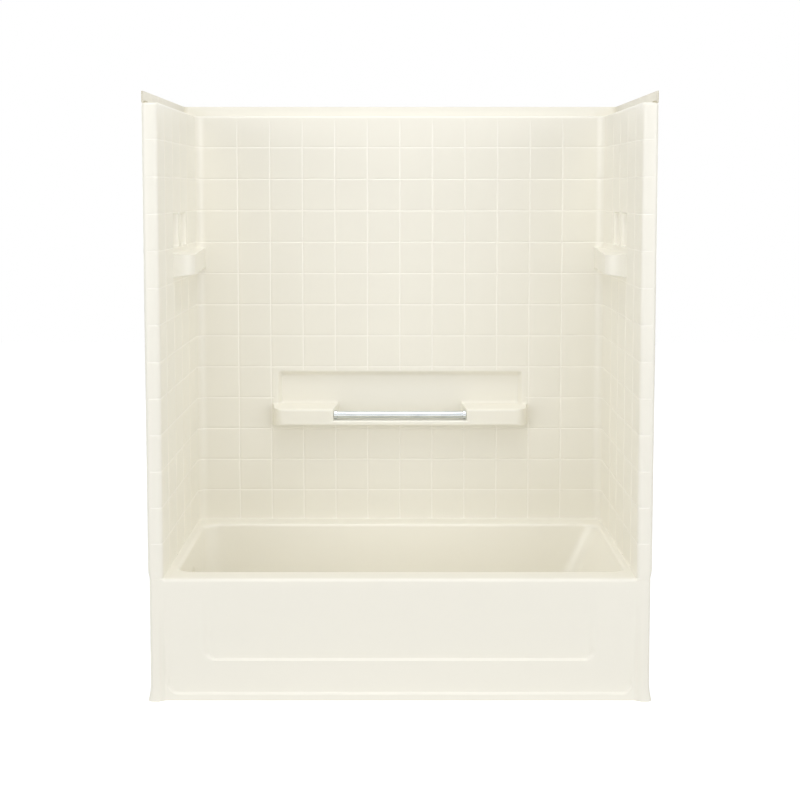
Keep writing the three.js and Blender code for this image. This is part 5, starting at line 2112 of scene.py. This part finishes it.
@dataclass
class TowelBar:
    """The chrome bar across the trough, with a slim bush at each end."""

    centre: Place = (291.0, 760.0)
    radius: float = 12.5
    half_length: float = 231.0
    bush_start: float = 218.0
    bush_end: float = 229.6
    bush_radius: float = 14.6

    def build(self, finishes: Finishes) -> None:
        """Makes the bar and its bushes.

        Args:
            finishes: Every finish of the object.
        """
        middle = (0.0, *self.centre)
        bar = turned(rod_section(self.radius, -self.half_length, self.half_length, 2.0), Axis.X,
                     middle, steps=64)
        finish_piece("bar", [bar], finishes.chrome, "towel_bar")
        section = tube_section(self.bush_radius, self.radius + 0.2, self.bush_start,
                               self.bush_end, 1.2)
        for side, label in ((1, "right"), (-1, "left")):
            bush = turned(section * np.array([1.0, side]), Axis.X, middle, ring=True, steps=64)
            finish_piece(f"bar_bush_{label}", [bush], finishes.chrome, f"bar_ferrule_{label}")


# Repeated details


class DetailTrees:
    """Geometry Nodes trees that make what repeats on the small pieces."""

    def __init__(self) -> None:
        """Builds each tree once."""
        self.screws = self.screw_row()
        self.pierced = self.pierced_disc()
        self.ribbed = self.ribbed_part()

    def screw_row(self) -> GeometryTree:
        """Cuts a cross into one screw and repeats it along a row.

        Returns:
            The tree.
        """
        made = GeometryTree("Screw row", {
            "Head Place": (0.0, 0.0, 0.0),
            "Cross Bar": (0.005, 0.001, 0.002),
            "Cross Arm": (0.001, 0.005, 0.002),
            "Count": 1,
            "Step": (0.0, 0.0, 0.0),
        })
        given = made.entry.outputs
        bars = []
        for label in ("Cross Bar", "Cross Arm"):
            bar = made.get("Mesh", "GeometryNodeMeshCube", {"Size": given[label]})
            bars.append(made.get("Geometry", "GeometryNodeTransform", {
                "Geometry": bar, "Translation": given["Head Place"]}))
        line = made.get("Mesh", "GeometryNodeMeshLine", {
            "Count": given["Count"], "Offset": given["Step"]}, mode="OFFSET")
        made.close(made.get("Instances", "GeometryNodeInstanceOnPoints", {
            "Points": line, "Instance": made.cut(*bars)}))
        return made

    def pierced_disc(self) -> GeometryTree:
        """Cuts a ring of round holes through a disc.

        Returns:
            The tree.
        """
        made = GeometryTree("Pierced disc", {
            "Hole Count": 8,
            "Hole Radius": 0.0035,
            "Ring Radius": 0.019,
            "Centre": (0.0, 0.0, 0.0),
        })
        given = made.entry.outputs
        ring = made.get("Mesh", "GeometryNodeMeshCircle", {
            "Vertices": given["Hole Count"], "Radius": given["Ring Radius"]})
        drill = made.get("Mesh", "GeometryNodeMeshCylinder", {
            "Vertices": 24, "Radius": given["Hole Radius"], "Depth": 0.02})
        drills = made.get("Instances", "GeometryNodeInstanceOnPoints", {
            "Points": ring, "Instance": drill})
        real = made.get("Geometry", "GeometryNodeRealizeInstances", {"Geometry": drills})
        made.close(made.cut(made.get("Geometry", "GeometryNodeTransform", {
            "Geometry": real, "Translation": given["Centre"]})))
        return made

    def ribbed_part(self) -> GeometryTree:
        """Sets upright ribs round a turned part.

        Returns:
            The tree.
        """
        made = GeometryTree("Ribbed part", {
            "Rib Count": 12,
            "Rib Size": (0.017, 0.0024, 0.028),
            "Rib Offset": (0.02, 0.0, 0.022),
            "Centre": (0.0, 0.0, 0.0),
        })
        given = made.entry.outputs
        rib = made.get("Mesh", "GeometryNodeMeshCube", {"Size": given["Rib Size"]})
        out = made.get("Geometry", "GeometryNodeTransform", {
            "Geometry": rib, "Translation": given["Rib Offset"]})
        hub = made.get("Mesh", "GeometryNodeMeshLine", {
            "Count": given["Rib Count"], "Start Location": given["Centre"],
            "Offset": (0.0, 0.0, 0.0)}, mode="OFFSET")
        step = made.maths("DIVIDE", 2.0 * math.pi, given["Rib Count"])
        turn = made.maths("MULTIPLY", made.get("Index", "GeometryNodeInputIndex"), step)
        ribs = made.get("Instances", "GeometryNodeInstanceOnPoints", {
            "Points": hub, "Instance": out,
            "Rotation": made.get("Vector", "ShaderNodeCombineXYZ", {"Z": turn})})
        both = made.add("GeometryNodeJoinGeometry")
        for part in (ribs, given["Geometry"]):
            made.link(part, both, "Geometry")
        made.close(both.outputs["Geometry"])
        return made


@dataclass(frozen=True)
class ScrewRow:
    """A row of equal pan-head screws with a cross in the head."""

    name: str
    nodes: tuple[str, ...]
    axis: Axis
    head: Point
    length: float
    step: Point = (0.0, 0.0, 0.0)
    side: int = 1
    head_radius: float = 5.0
    head_height: float = 3.8
    shank_radius: float = 2.5

    def build(self, finish: Finish, trees: DetailTrees) -> None:
        """Makes the row as one piece.

        Args:
            finish: The finish of the screws.
            trees: The trees that make repeated details.
        """
        top, radius, edge = self.head_height, self.head_radius, self.head_height * 0.7
        outline = rounded_line([
            (0.0, top, 0.0), (radius * 0.62, top, edge), (radius, top * 0.35, edge),
            (radius, 0.0, 0.2), (self.shank_radius, 0.0, 0.3),
            (self.shank_radius, -self.length + 1.5, 0.5), (0.0, -self.length, 0.0)], steps=4)
        lift = np.array([1.0, self.side])
        shift = np.array([0.0, self.side * -top])
        form = turned(outline * lift + shift, self.axis, self.head, steps=20)
        bar = np.array([radius * 1.1, radius * 0.24, top * 0.9])
        arm = bar[[1, 0, 2]]
        finish_piece(self.name, [form], finish, *self.nodes, tree=trees.screws, values={
            "Head Place": tuple(np.array(self.head) * MM),
            "Cross Bar": tuple(self.axis.turned(bar) * MM),
            "Cross Arm": tuple(self.axis.turned(arm) * MM),
            "Count": len(self.nodes), "Step": tuple(np.array(self.step) * MM)})


class Fasteners:
    """Every screw of the object."""

    rows: tuple[ScrewRow, ...] = (
        ScrewRow("seam_screws_left", tuple(f"seam_screw_left_{i}" for i in (1, 2, 3)), Axis.X,
                 (-668.2, 363.5, 520.0), 19.3, (0.0, 0.0, 520.0)),
        ScrewRow("seam_screws_right", tuple(f"seam_screw_right_{i}" for i in (1, 2, 3)), Axis.X,
                 (668.2, 363.5, 520.0), 19.3, (0.0, 0.0, 520.0), side=-1),
        ScrewRow("deck_screws_back", ("deck_screw_1", "deck_screw_2", "deck_screw_3"), Axis.Z,
                 (-560.0, 364.0, 388.3), 19.3, (560.0, 0.0, 0.0)),
        ScrewRow("deck_screws_left", ("deck_screw_4", "deck_screw_5"), Axis.Z,
                 (-725.0, -130.0, 388.3), 19.3, (0.0, 260.0, 0.0)),
        ScrewRow("deck_screws_right", ("deck_screw_6", "deck_screw_7"), Axis.Z,
                 (725.0, -130.0, 388.3), 19.3, (0.0, 260.0, 0.0)),
    )
    plated: tuple[ScrewRow, ...] = (
        ScrewRow("strainer_fixing", ("strainer_screw",), Axis.Z, (-532.0, -7.0, 74.3), 22.0,
                 head_radius=3.7, head_height=2.0, shank_radius=2.1),
        ScrewRow("overflow_fixings", ("overflow_screw_1", "overflow_screw_2"), Axis.X,
                 (-671.4, -31.0, 255.0), 25.0, (0.0, 48.0, 0.0), head_radius=3.7,
                 head_height=2.0, shank_radius=1.9),
    )

    def build(self, finishes: Finishes, trees: DetailTrees) -> None:
        """Makes each row of screws."""
        for row in self.rows:
            row.build(finishes.steel, trees)
        for row in self.plated:
            row.build(finishes.chrome, trees)


# Waste and overflow


def faceted(form: Form, axis: Axis, centre: Point, sides: int,
            radius: float) -> Form:
    """A turned form whose outside is cut to flats.

    Args:
        form: The turned form.
        axis: The direction of its axis.
        centre: A point of its axis.
        sides: Number of flats.
        radius: Radius of the corners between the flats.

    Returns:
        The form with flats.
    """
    across = {Axis.X: [1, 2], Axis.Y: [0, 2], Axis.Z: [0, 1]}[axis]
    middle = np.array(centre)[across]
    local = form.points[:, across] - middle
    length = np.hypot(local[:, 0], local[:, 1])
    turn = np.arctan2(local[:, 1], local[:, 0])
    half = math.pi / sides
    limit = radius * math.cos(half) / np.cos((turn + half) % (2 * half) - half)
    scale = np.where(length > limit, limit / np.maximum(length, 1e-6), 1.0)
    points = form.points.copy()
    points[:, across] = middle + local * scale[:, None]
    return Form(points, form.faces, form.marks)


@dataclass
class Waste:
    """The drain, the overflow and the tubes that join them."""

    drain: Point = (-532.0, -7.0, 0.0)
    stack: Point = (-728.0, -7.0, 0.0)
    waste_line: Point = (0.0, -7.0, 32.0)
    overflow_line: Point = (0.0, -7.0, 255.0)
    tube: float = 19.0
    bore: float = 17.0
    socket: float = 19.3
    body: float = 22.8
    nut: float = 26.0
    nut_length: float = 16.0
    nut_sides: int = 8
    gasket: Place = (36.6, 26.0)
    gasket_span: Place = (56.7, 59.7)
    pad_gasket: Place = (39.6, 28.0)
    pad_span: Place = (-694.3, -687.3)
    stub_span: Place = (-574.0, -556.0)
    level_span: Place = (-705.7, -560.3)
    upright_span: Place = (76.3, 239.7)
    hole_count: int = 8
    hole_radius: float = 3.5
    hole_ring: float = 16.0
    hole_height: float = 70.5

    def drain_parts(self, finishes: Finishes, trees: DetailTrees) -> None:
        """The flange in the floor, its strainer, its gasket and the shoe below.

        Args:
            finishes: Every finish of the object.
            trees: The trees that make repeated details.
        """
        place = (Axis.Z, self.drain)
        flange = lathed([
            (self.tube, 50.3, 0.0), (23.0, 50.3, 0.5), (23.0, 65.3, 1.0), (38.6, 65.3, 0.5),
            (38.6, 66.4, 0.8), (31.0, 68.7, 3.0), (21.5, 68.7, 1.2), (self.tube, 66.6, 1.2),
            (self.tube, 50.3, 0.0)], *place, ring=True, steps=72)
        x, y, _ = self.drain
        bar = block((x - 20.0, x + 20.0), (y - 4.9, y + 4.9), (50.4, 55.2), 1.0)
        finish_piece("floor_flange", [flange, bar], finishes.chrome, "drain_flange")
        disc = lathed([
            (2.5, 69.0, 0.0), (27.7, 69.0, 0.4), (27.7, 70.0, 0.6), (24.0, 71.9, 4.0),
            (4.6, 71.9, 0.5), (3.9, 71.5, 0.2), (2.5, 71.5, 0.2), (2.5, 69.0, 0.0)],
            *place, ring=True, steps=72)
        finish_piece("strainer", [disc], finishes.chrome, "drain_strainer", tree=trees.pierced,
                     values={"Hole Count": self.hole_count, "Hole Radius": self.hole_radius * MM,
                             "Ring Radius": self.hole_ring * MM,
                             "Centre": (x * MM, y * MM, self.hole_height * MM)})
        ring = pipe(self.gasket, self.gasket_span, 1.2, *place, steps=72)
        finish_piece("floor_gasket", [ring], finishes.rubber, "drain_gasket")
        bowl = lathed([
            (0.0, 8.0, 0.0), (28.8, 8.0, 9.0), (28.8, 52.4, 1.5), (36.5, 52.4, 0.6),
            (36.5, 56.4, 0.6), (24.0, 56.4, 0.8), (24.0, 14.0, 7.0), (0.0, 12.0, 0.0)],
            *place, fine=5, steps=72)
        stub = pipe((self.body, self.socket), self.stub_span, 1.4, Axis.X, self.waste_line)
        finish_piece("shoe", [bowl, stub], finishes.brass, "drain_shoe")

    def tubes(self, finishes: Finishes) -> None:
        """The two thin tubes with the tee and the elbow.

        Args:
            finishes: Every finish of the object.
        """
        bore, body, hub, socket = self.bore, self.body, self.body + 1.2, self.socket
        rim, hole = self.pad_gasket
        level = pipe((self.tube, bore), self.level_span, 0.5, Axis.X, self.waste_line)
        finish_piece("level_tube", [level], finishes.brass, "waste_tube")
        upright = pipe((self.tube, bore), self.upright_span, 0.5, Axis.Z, self.stack)
        finish_piece("upright_tube", [upright], finishes.brass, "overflow_tube")
        run = lathed([
            (bore, 10.0, 0.0), (13.5, 10.0, 0.4), (13.5, 1.0, 0.4), (hub, 1.0, 1.2),
            (hub, 9.0, 1.0), (body, 11.0, 1.0), (body, 80.0, 1.0), (hub, 82.0, 1.0),
            (hub, 90.0, 1.2), (socket, 90.0, 0.6), (socket, 76.0, 0.3), (bore, 76.0, 0.3),
            (bore, 10.0, 0.0)], Axis.Z, self.stack, fine=3, ring=True)
        arm = lathed([
            (socket, -709.0, 0.0), (body, -709.0, 0.0), (body, -700.0, 1.0), (hub, -698.0, 1.0),
            (hub, -692.0, 1.2), (socket, -692.0, 0.6), (socket, -709.0, 0.0)],
            Axis.X, self.waste_line, fine=3, ring=True)
        finish_piece("tee", [run, arm], finishes.brass, "waste_tee")
        cap = lathed([
            (0.0, 285.0, 0.0), (body, 285.0, 9.0), (body, 236.0, 1.0), (hub, 234.0, 1.0),
            (hub, 226.0, 1.2), (socket, 226.0, 0.6), (socket, 240.0, 0.3), (bore, 240.0, 0.3),
            (bore, 280.0, 5.0), (0.0, 280.0, 0.0)], Axis.Z, self.stack)
        flange = lathed([
            (bore, -712.0, 0.0), (body, -712.0, 0.0), (body, -698.6, 2.5), (rim, -698.6, 1.0),
            (rim, -694.6, 0.6), (hole, -694.6, 0.6), (hole, -697.0, 0.4), (bore, -697.0, 0.4),
            (bore, -712.0, 0.0)],
            Axis.X, self.overflow_line, ring=True)
        finish_piece("elbow", [cap, flange], finishes.brass, "overflow_elbow")
        pad = pipe(self.pad_gasket, self.pad_span, 2.0, Axis.X, self.overflow_line, steps=72)
        finish_piece("pad_gasket", [pad], finishes.rubber, "overflow_gasket")

    def nuts(self, finishes: Finishes) -> None:
        """The four slip nuts with eight flats.

        Args:
            finishes: Every finish of the object.
        """
        places = (("shoe_nut", Axis.X, self.waste_line, -590.3),
                  ("tee_side_nut", Axis.X, self.waste_line, -691.7),
                  ("tee_top_nut", Axis.Z, self.stack, 90.3),
                  ("elbow_nut", Axis.Z, self.stack, 209.7))
        for node, axis, centre, start in places:
            ring = pipe((self.nut, self.socket), (start, start + self.nut_length), 2.0, axis,
                        centre)
            nut = faceted(ring, axis, centre, self.nut_sides, self.nut)
            finish_piece(f"slip_{node}", [nut], finishes.brass, node)

    def build(self, finishes: Finishes, trees: DetailTrees) -> None:
        """Makes the waste and the overflow.

        Args:
            finishes: Every finish of the object.
            trees: The trees that make repeated details.
        """
        self.drain_parts(finishes, trees)
        self.tubes(finishes)
        self.nuts(finishes)


@dataclass
class TripLever:
    """The overflow plate with its lever, and the linkage that the lever lifts."""

    centre: Point = (0.0, -7.0, 255.0)
    pivot: Point = (-689.0, -7.0, 255.0)
    stack: Point = (-728.0, -7.0, 0.0)
    tilt: float = 18.0
    eye: float = 267.672
    rim_start: float = 34.0
    plate_front: float = -673.8
    plate_back: float = -676.4
    thickness: float = 2.5
    rim_thickness: float = 0.6
    section: tuple[Place, ...] = (
        (17.0, -674.1), (26.0, -674.0), (31.0, -674.2), (34.0, -675.2), (35.8, -676.8),
        (36.5, -679.0), (36.6, -682.6))
    ear_face: float = -676.2
    ear_off: float = 4.5
    ear_half: float = 1.5
    ear_depth: float = 5.4
    ear_height: float = 5.5
    pin_radius: float = 1.38
    pin_half: float = 8.4
    eye_radii: Place = (7.6, 4.7)
    eye_span: Place = (-730.0, -726.0)
    rod_radius: float = 2.0
    rod_span: Place = (60.0, 261.5)
    slot_half: Place = (4.5, 10.0)

    def plate(self, finishes: Finishes) -> None:
        """The round dished plate with its upright slot and the two ears of the pivot.

        Args:
            finishes: Every finish of the object.
        """
        steps = 64
        turns = np.linspace(0.0, 2.0 * math.pi, steps, endpoint=False)
        ray = np.column_stack([np.cos(turns), np.sin(turns)])
        half, radius = np.array(self.slot_half), self.slot_half[0]
        straight = half - radius
        slot = ray * radius + np.sign(np.round(ray, 6)) * straight
        front = [at_x(self.plate_front, slot), *(at_x(x, ray * r) for r, x in self.section)]
        rear = [at_x(self.plate_front - self.thickness, slot)]
        for r, x in self.section:
            if r < self.rim_start:
                rear.append(at_x(min(x - self.thickness, self.plate_back), ray * r))
            else:
                rear.append(at_x(x - self.rim_thickness, ray * (r - self.thickness)))
        shift = np.array([0.0, *self.centre[1:]])
        face = np.stack(front, axis=1) + shift
        back = np.stack(rear, axis=1) + shift
        dish = sheet(face, back, closed=True)
        dish.marks.clear()
        x, y, z = self.pivot
        ears = [block((x - self.ear_depth, self.ear_face),
                      (middle - self.ear_half, middle + self.ear_half),
                      (z - self.ear_height, z + self.ear_height), 1.0)
                for middle in (y - self.ear_off, y + self.ear_off)]
        finish_piece("cover_plate", [dish, *ears], finishes.trim, "overflow_plate")

    def lever(self, finishes: Finishes) -> None:
        """The lever with its boss and finger tab, tilted as it stands at rest.

        Args:
            finishes: Every finish of the object.
        """
        arm = block((-46.0, 27.0), (-2.5, 2.5), (-2.5, 2.5), 1.2)
        tab = block((19.0, 30.0), (-6.0, 6.0), (-3.2, 2.7), 2.4, steps=4)
        boss = turned(rod_section(4.5, -2.7, 2.7, 0.5), Axis.Y, (0.0, 0.0, 0.0), steps=32)
        turn = math.radians(self.tilt)
        spin = np.array([[math.cos(turn), 0.0, math.sin(turn)], [0.0, 1.0, 0.0],
                         [-math.sin(turn), 0.0, math.cos(turn)]])
        forms = [Form(form.points @ spin.T + np.array(self.pivot), form.faces)
                 for form in (arm, tab, boss)]
        finish_piece("lever", forms, finishes.trim, "trip_lever", body=Body.LEVER)
        pin = turned(rod_section(self.pin_radius, -self.pin_half, self.pin_half, 0.4), Axis.Y,
                     self.pivot, steps=24)
        finish_piece("pivot_pin", [pin], finishes.brass, "lever_pin")

    def linkage(self, finishes: Finishes) -> None:
        """The rod with its eye, and the plunger on its lower end.

        Args:
            finishes: Every finish of the object.
        """
        eye = pipe(self.eye_radii, self.eye_span, 1.2, Axis.X, (0.0, self.pivot[1], self.eye),
                   steps=40)
        rod = turned(rod_section(self.rod_radius, *self.rod_span, 0.4), Axis.Z, self.stack,
                     steps=20)
        finish_piece("lift_rod", [eye, rod], finishes.brass, "linkage_rod", body=Body.LINKAGE)
        plunger = lathed([
            (0.0, 35.7, 0.0), (11.5, 35.7, 1.5), (15.3, 39.5, 1.0), (15.3, 46.0, 0.4),
            (13.9, 47.0, 0.4), (13.9, 50.0, 0.4), (15.3, 51.0, 0.4), (15.3, 58.0, 0.4),
            (13.9, 59.0, 0.4), (13.9, 62.0, 0.4), (15.3, 63.0, 0.4), (15.3, 69.5, 1.5),
            (6.0, 71.6, 1.0), (2.3, 71.6, 0.3), (2.3, 59.6, 0.0), (0.0, 59.6, 0.0)],
            Axis.Z, self.stack, fine=3, steps=48)
        finish_piece("stopper", [plunger], finishes.brass, "plunger", body=Body.LINKAGE)

    def build(self, finishes: Finishes) -> None:
        """Makes the plate, the lever and the linkage.

        Args:
            finishes: Every finish of the object.
        """
        self.plate(finishes)
        self.lever(finishes)
        self.linkage(finishes)


# Supports and seals


def finish_block(name: str, node: str, finish: Finish, bevel: float) -> None:
    """Makes a block with rounded edges that fills the box of a node.

    Args:
        name: The piece's name.
        node: The node that it fills and stands for.
        finish: The material and slot.
        bevel: Radius of its edges.
    """
    low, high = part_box(node)
    spans = [(low[i] / MM, high[i] / MM) for i in range(3)]
    finish_piece(name, [block(*spans, bevel)], finish, node)


@dataclass
class Supports:
    """The feet, the floor board, the braces and the battens."""

    foot_places: tuple[tuple[str, float, float], ...] = (
        ("foot_front_left", -372.0, -107.0), ("foot_back_left", -372.0, 93.0),
        ("foot_front_right", 328.0, -107.0), ("foot_back_right", 328.0, 93.0))
    board_bevel: float = 1.5
    bevel: float = 2.0

    def foot(self, node: str, x: float, y: float, finishes: Finishes,
             trees: DetailTrees) -> None:
        """A foot with a broad pad, a stem and ribs between its plates.

        Args:
            node: The node that it stands for.
            x: X of its middle.
            y: Y of its middle.
            finishes: Every finish of the object.
            trees: The trees that make repeated details.
        """
        hub = lathed([
            (0.0, 0.0, 0.0), (37.5, 0.0, 1.5), (37.5, 6.5, 2.5), (17.0, 9.0, 3.0),
            (14.0, 14.0, 4.0), (14.0, 32.0, 3.0), (30.0, 35.5, 1.0), (30.0, 40.4, 1.0),
            (0.0, 40.4, 0.0)], Axis.Z, (x, y, 0.0))
        finish_piece(f"ribbed_{node}", [hub], finishes.foot, node, tree=trees.ribbed, values={
            "Rib Count": 12, "Rib Size": (16.0 * MM, 2.4 * MM, 29.5 * MM),
            "Rib Offset": (21.0 * MM, 0.0, 21.5 * MM), "Centre": (x * MM, y * MM, 0.0)})

    def build(self, finishes: Finishes, trees: DetailTrees) -> None:
        """Makes the feet and the timber.

        Args:
            finishes: Every finish of the object.
            trees: The trees that make repeated details.
        """
        for node, x, y in self.foot_places:
            self.foot(node, x, y, finishes, trees)
        finish_block("plywood_floor", "floor_board", finishes.board, self.board_bevel)
        for side in ("left", "right"):
            finish_block(f"brace_{side}", f"apron_brace_{side}", finishes.upright, self.bevel)
            finish_block(f"end_batten_{side}", f"{side}_batten", finishes.batten_deep, self.bevel)
        for level in ("lower", "upper"):
            finish_block(f"wide_batten_{level}", f"back_batten_{level}", finishes.batten_across,
                         self.bevel)


@dataclass
class Seals:
    """The foam strips under the panels and in the upright seams."""

    bevel: float = 0.7

    def build(self, finishes: Finishes) -> None:
        """Makes each strip.

        Args:
            finishes: Every finish of the object.
        """
        for start, places in (("deck_seal", ("back", "left", "right")),
                              ("corner_seal", ("left", "right"))):
            for place in places:
                node = f"{start}_{place}"
                finish_block(f"strip_{node}", node, finishes.seal, self.bevel)


# Studio

WHITE = (1.0, 1.0, 1.0, 1.0)


@dataclass(frozen=True)
class Lamp:
    """A soft square lamp.

    The place is in metres, the turn is its tilt about X and then about Z in degrees, the
    size is the length of its sides in metres, and the power is in watts.
    """

    name: str
    place: Point
    turn: Place
    size: float
    power: float

    def hang(self) -> None:
        """Places the lamp in the scene."""
        data = bpy.data.lights.new(self.name, "AREA")
        data.size, data.energy = self.size, self.power
        lamp = new_object(self.name, data)
        lamp.location = self.place
        lamp.rotation_euler = (math.radians(self.turn[0]), 0.0, math.radians(self.turn[1]))


@dataclass(frozen=True)
class Studio:
    """Floor, light and camera."""

    camera_place: Point = (0.0, -4.234, 1.535)
    camera_pitch: float = 4.21
    lens: float = 59.04
    shift: Place = (0.0, -0.14)
    sensor: float = 36.0
    sky: float = 0.25
    floor_half: float = 9.0
    floor_glow: float = 0.87
    lamps: tuple[Lamp, ...] = (
        Lamp("left", (-3.2, -4.6, 1.9), (80.0, -35.0), 2.6, 57.0),
        Lamp("right", (3.2, -4.6, 1.9), (80.0, 35.0), 2.6, 57.0),
        Lamp("far_left", (-5.0, -3.0, 1.9), (80.0, -60.0), 2.6, 38.0),
        Lamp("far_right", (5.0, -3.0, 1.9), (80.0, 60.0), 2.6, 38.0),
        Lamp("over", (0.0, -0.6, 4.6), (0.0, 0.0), 3.0, 49.0),
        Lamp("steep", (0.0, -2.4, 4.2), (36.0, 0.0), 2.4, 29.0),
        Lamp("back_left", (-3.2, 4.6, 2.2), (78.0, -145.0), 2.6, 45.0),
        Lamp("back_right", (3.2, 4.6, 2.2), (78.0, 145.0), 2.6, 45.0),
    )

    def camera(self) -> None:
        """The camera at the photograph's viewing angle."""
        data = bpy.data.cameras.new("camera")
        data.lens, data.sensor_width = self.lens, self.sensor
        data.shift_x, data.shift_y = self.shift
        camera = new_object("camera", data)
        camera.location = self.camera_place
        camera.rotation_euler = (math.radians(90.0 - self.camera_pitch), 0.0, 0.0)
        bpy.context.scene.camera = camera

    def floor(self) -> None:
        """A pale floor that keeps the object's shadow and is white to the camera."""
        mesh = bpy.data.meshes.new("floor")
        half = self.floor_half
        mesh.from_pydata([(-half, -half, 0), (half, -half, 0), (half, half, 0), (-half, half, 0)],
                         [], [(0, 1, 2, 3)])
        piece = new_object("floor", mesh)
        material = bpy.data.materials.new("studio_floor")
        material.use_nodes = True
        work = ShaderTree(material.node_tree)
        material.node_tree.nodes.clear()
        matt = work.get(0, "ShaderNodeBsdfDiffuse", {"Color": (0.5, 0.5, 0.5, 1.0)})
        paper = work.get(0, "ShaderNodeBsdfDiffuse", {"Color": (0.8, 0.8, 0.79, 1.0)})
        glow = work.get(0, "ShaderNodeEmission", {"Color": WHITE, "Strength": self.floor_glow})
        white = work.get(0, "ShaderNodeAddShader", {0: matt, 1: glow})
        shown = work.get(0, "ShaderNodeMixShader", {0: work.seen(), 1: paper, 2: white})
        under = work.get("Backfacing", "ShaderNodeNewGeometry")
        clear = work.get(0, "ShaderNodeBsdfTransparent")
        whole = work.get(0, "ShaderNodeMixShader", {0: under, 1: shown, 2: clear})
        work.add("ShaderNodeOutputMaterial", {"Surface": whole})
        mesh.materials.append(material)

    def world(self) -> None:
        """An even sky that is white to the camera and a plain light to the object."""
        world = bpy.data.worlds.new("studio")
        world.use_nodes = True
        work = ShaderTree(world.node_tree)
        world.node_tree.nodes.clear()
        strength = work.spread(work.seen(), 0.0, 1.0, self.sky, 1.0)
        sky = work.get(0, "ShaderNodeBackground", {"Color": WHITE, "Strength": strength})
        work.add("ShaderNodeOutputWorld", {"Surface": sky})
        bpy.context.scene.world = world

    def build(self) -> None:
        """Sets up the studio."""
        self.world()
        self.floor()
        for lamp in self.lamps:
            lamp.hang()
        self.camera()
        bpy.context.scene.view_settings.view_transform = "Standard"


def main() -> None:
    """Builds the object piece by piece."""
    logging.basicConfig(level=logging.INFO, format="%(name)s: %(message)s")
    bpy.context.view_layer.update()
    Studio().build()
    finishes = Finishes()
    sizes, pattern = WallSizes(), TilePattern()
    joints = pattern.tree()
    Bath().build(finishes)
    BackWall(sizes, pattern).build(finishes, joints)
    for side in (-1, 1):
        EndWall(side, sizes, pattern).build(finishes, joints)
    TowelBar().build(finishes)
    trees = DetailTrees()
    Waste().build(finishes, trees)
    TripLever().build(finishes)
    Fasteners().build(finishes, trees)
    Supports().build(finishes, trees)
    Seals().build(finishes)


if __name__ == "__main__":
    main()
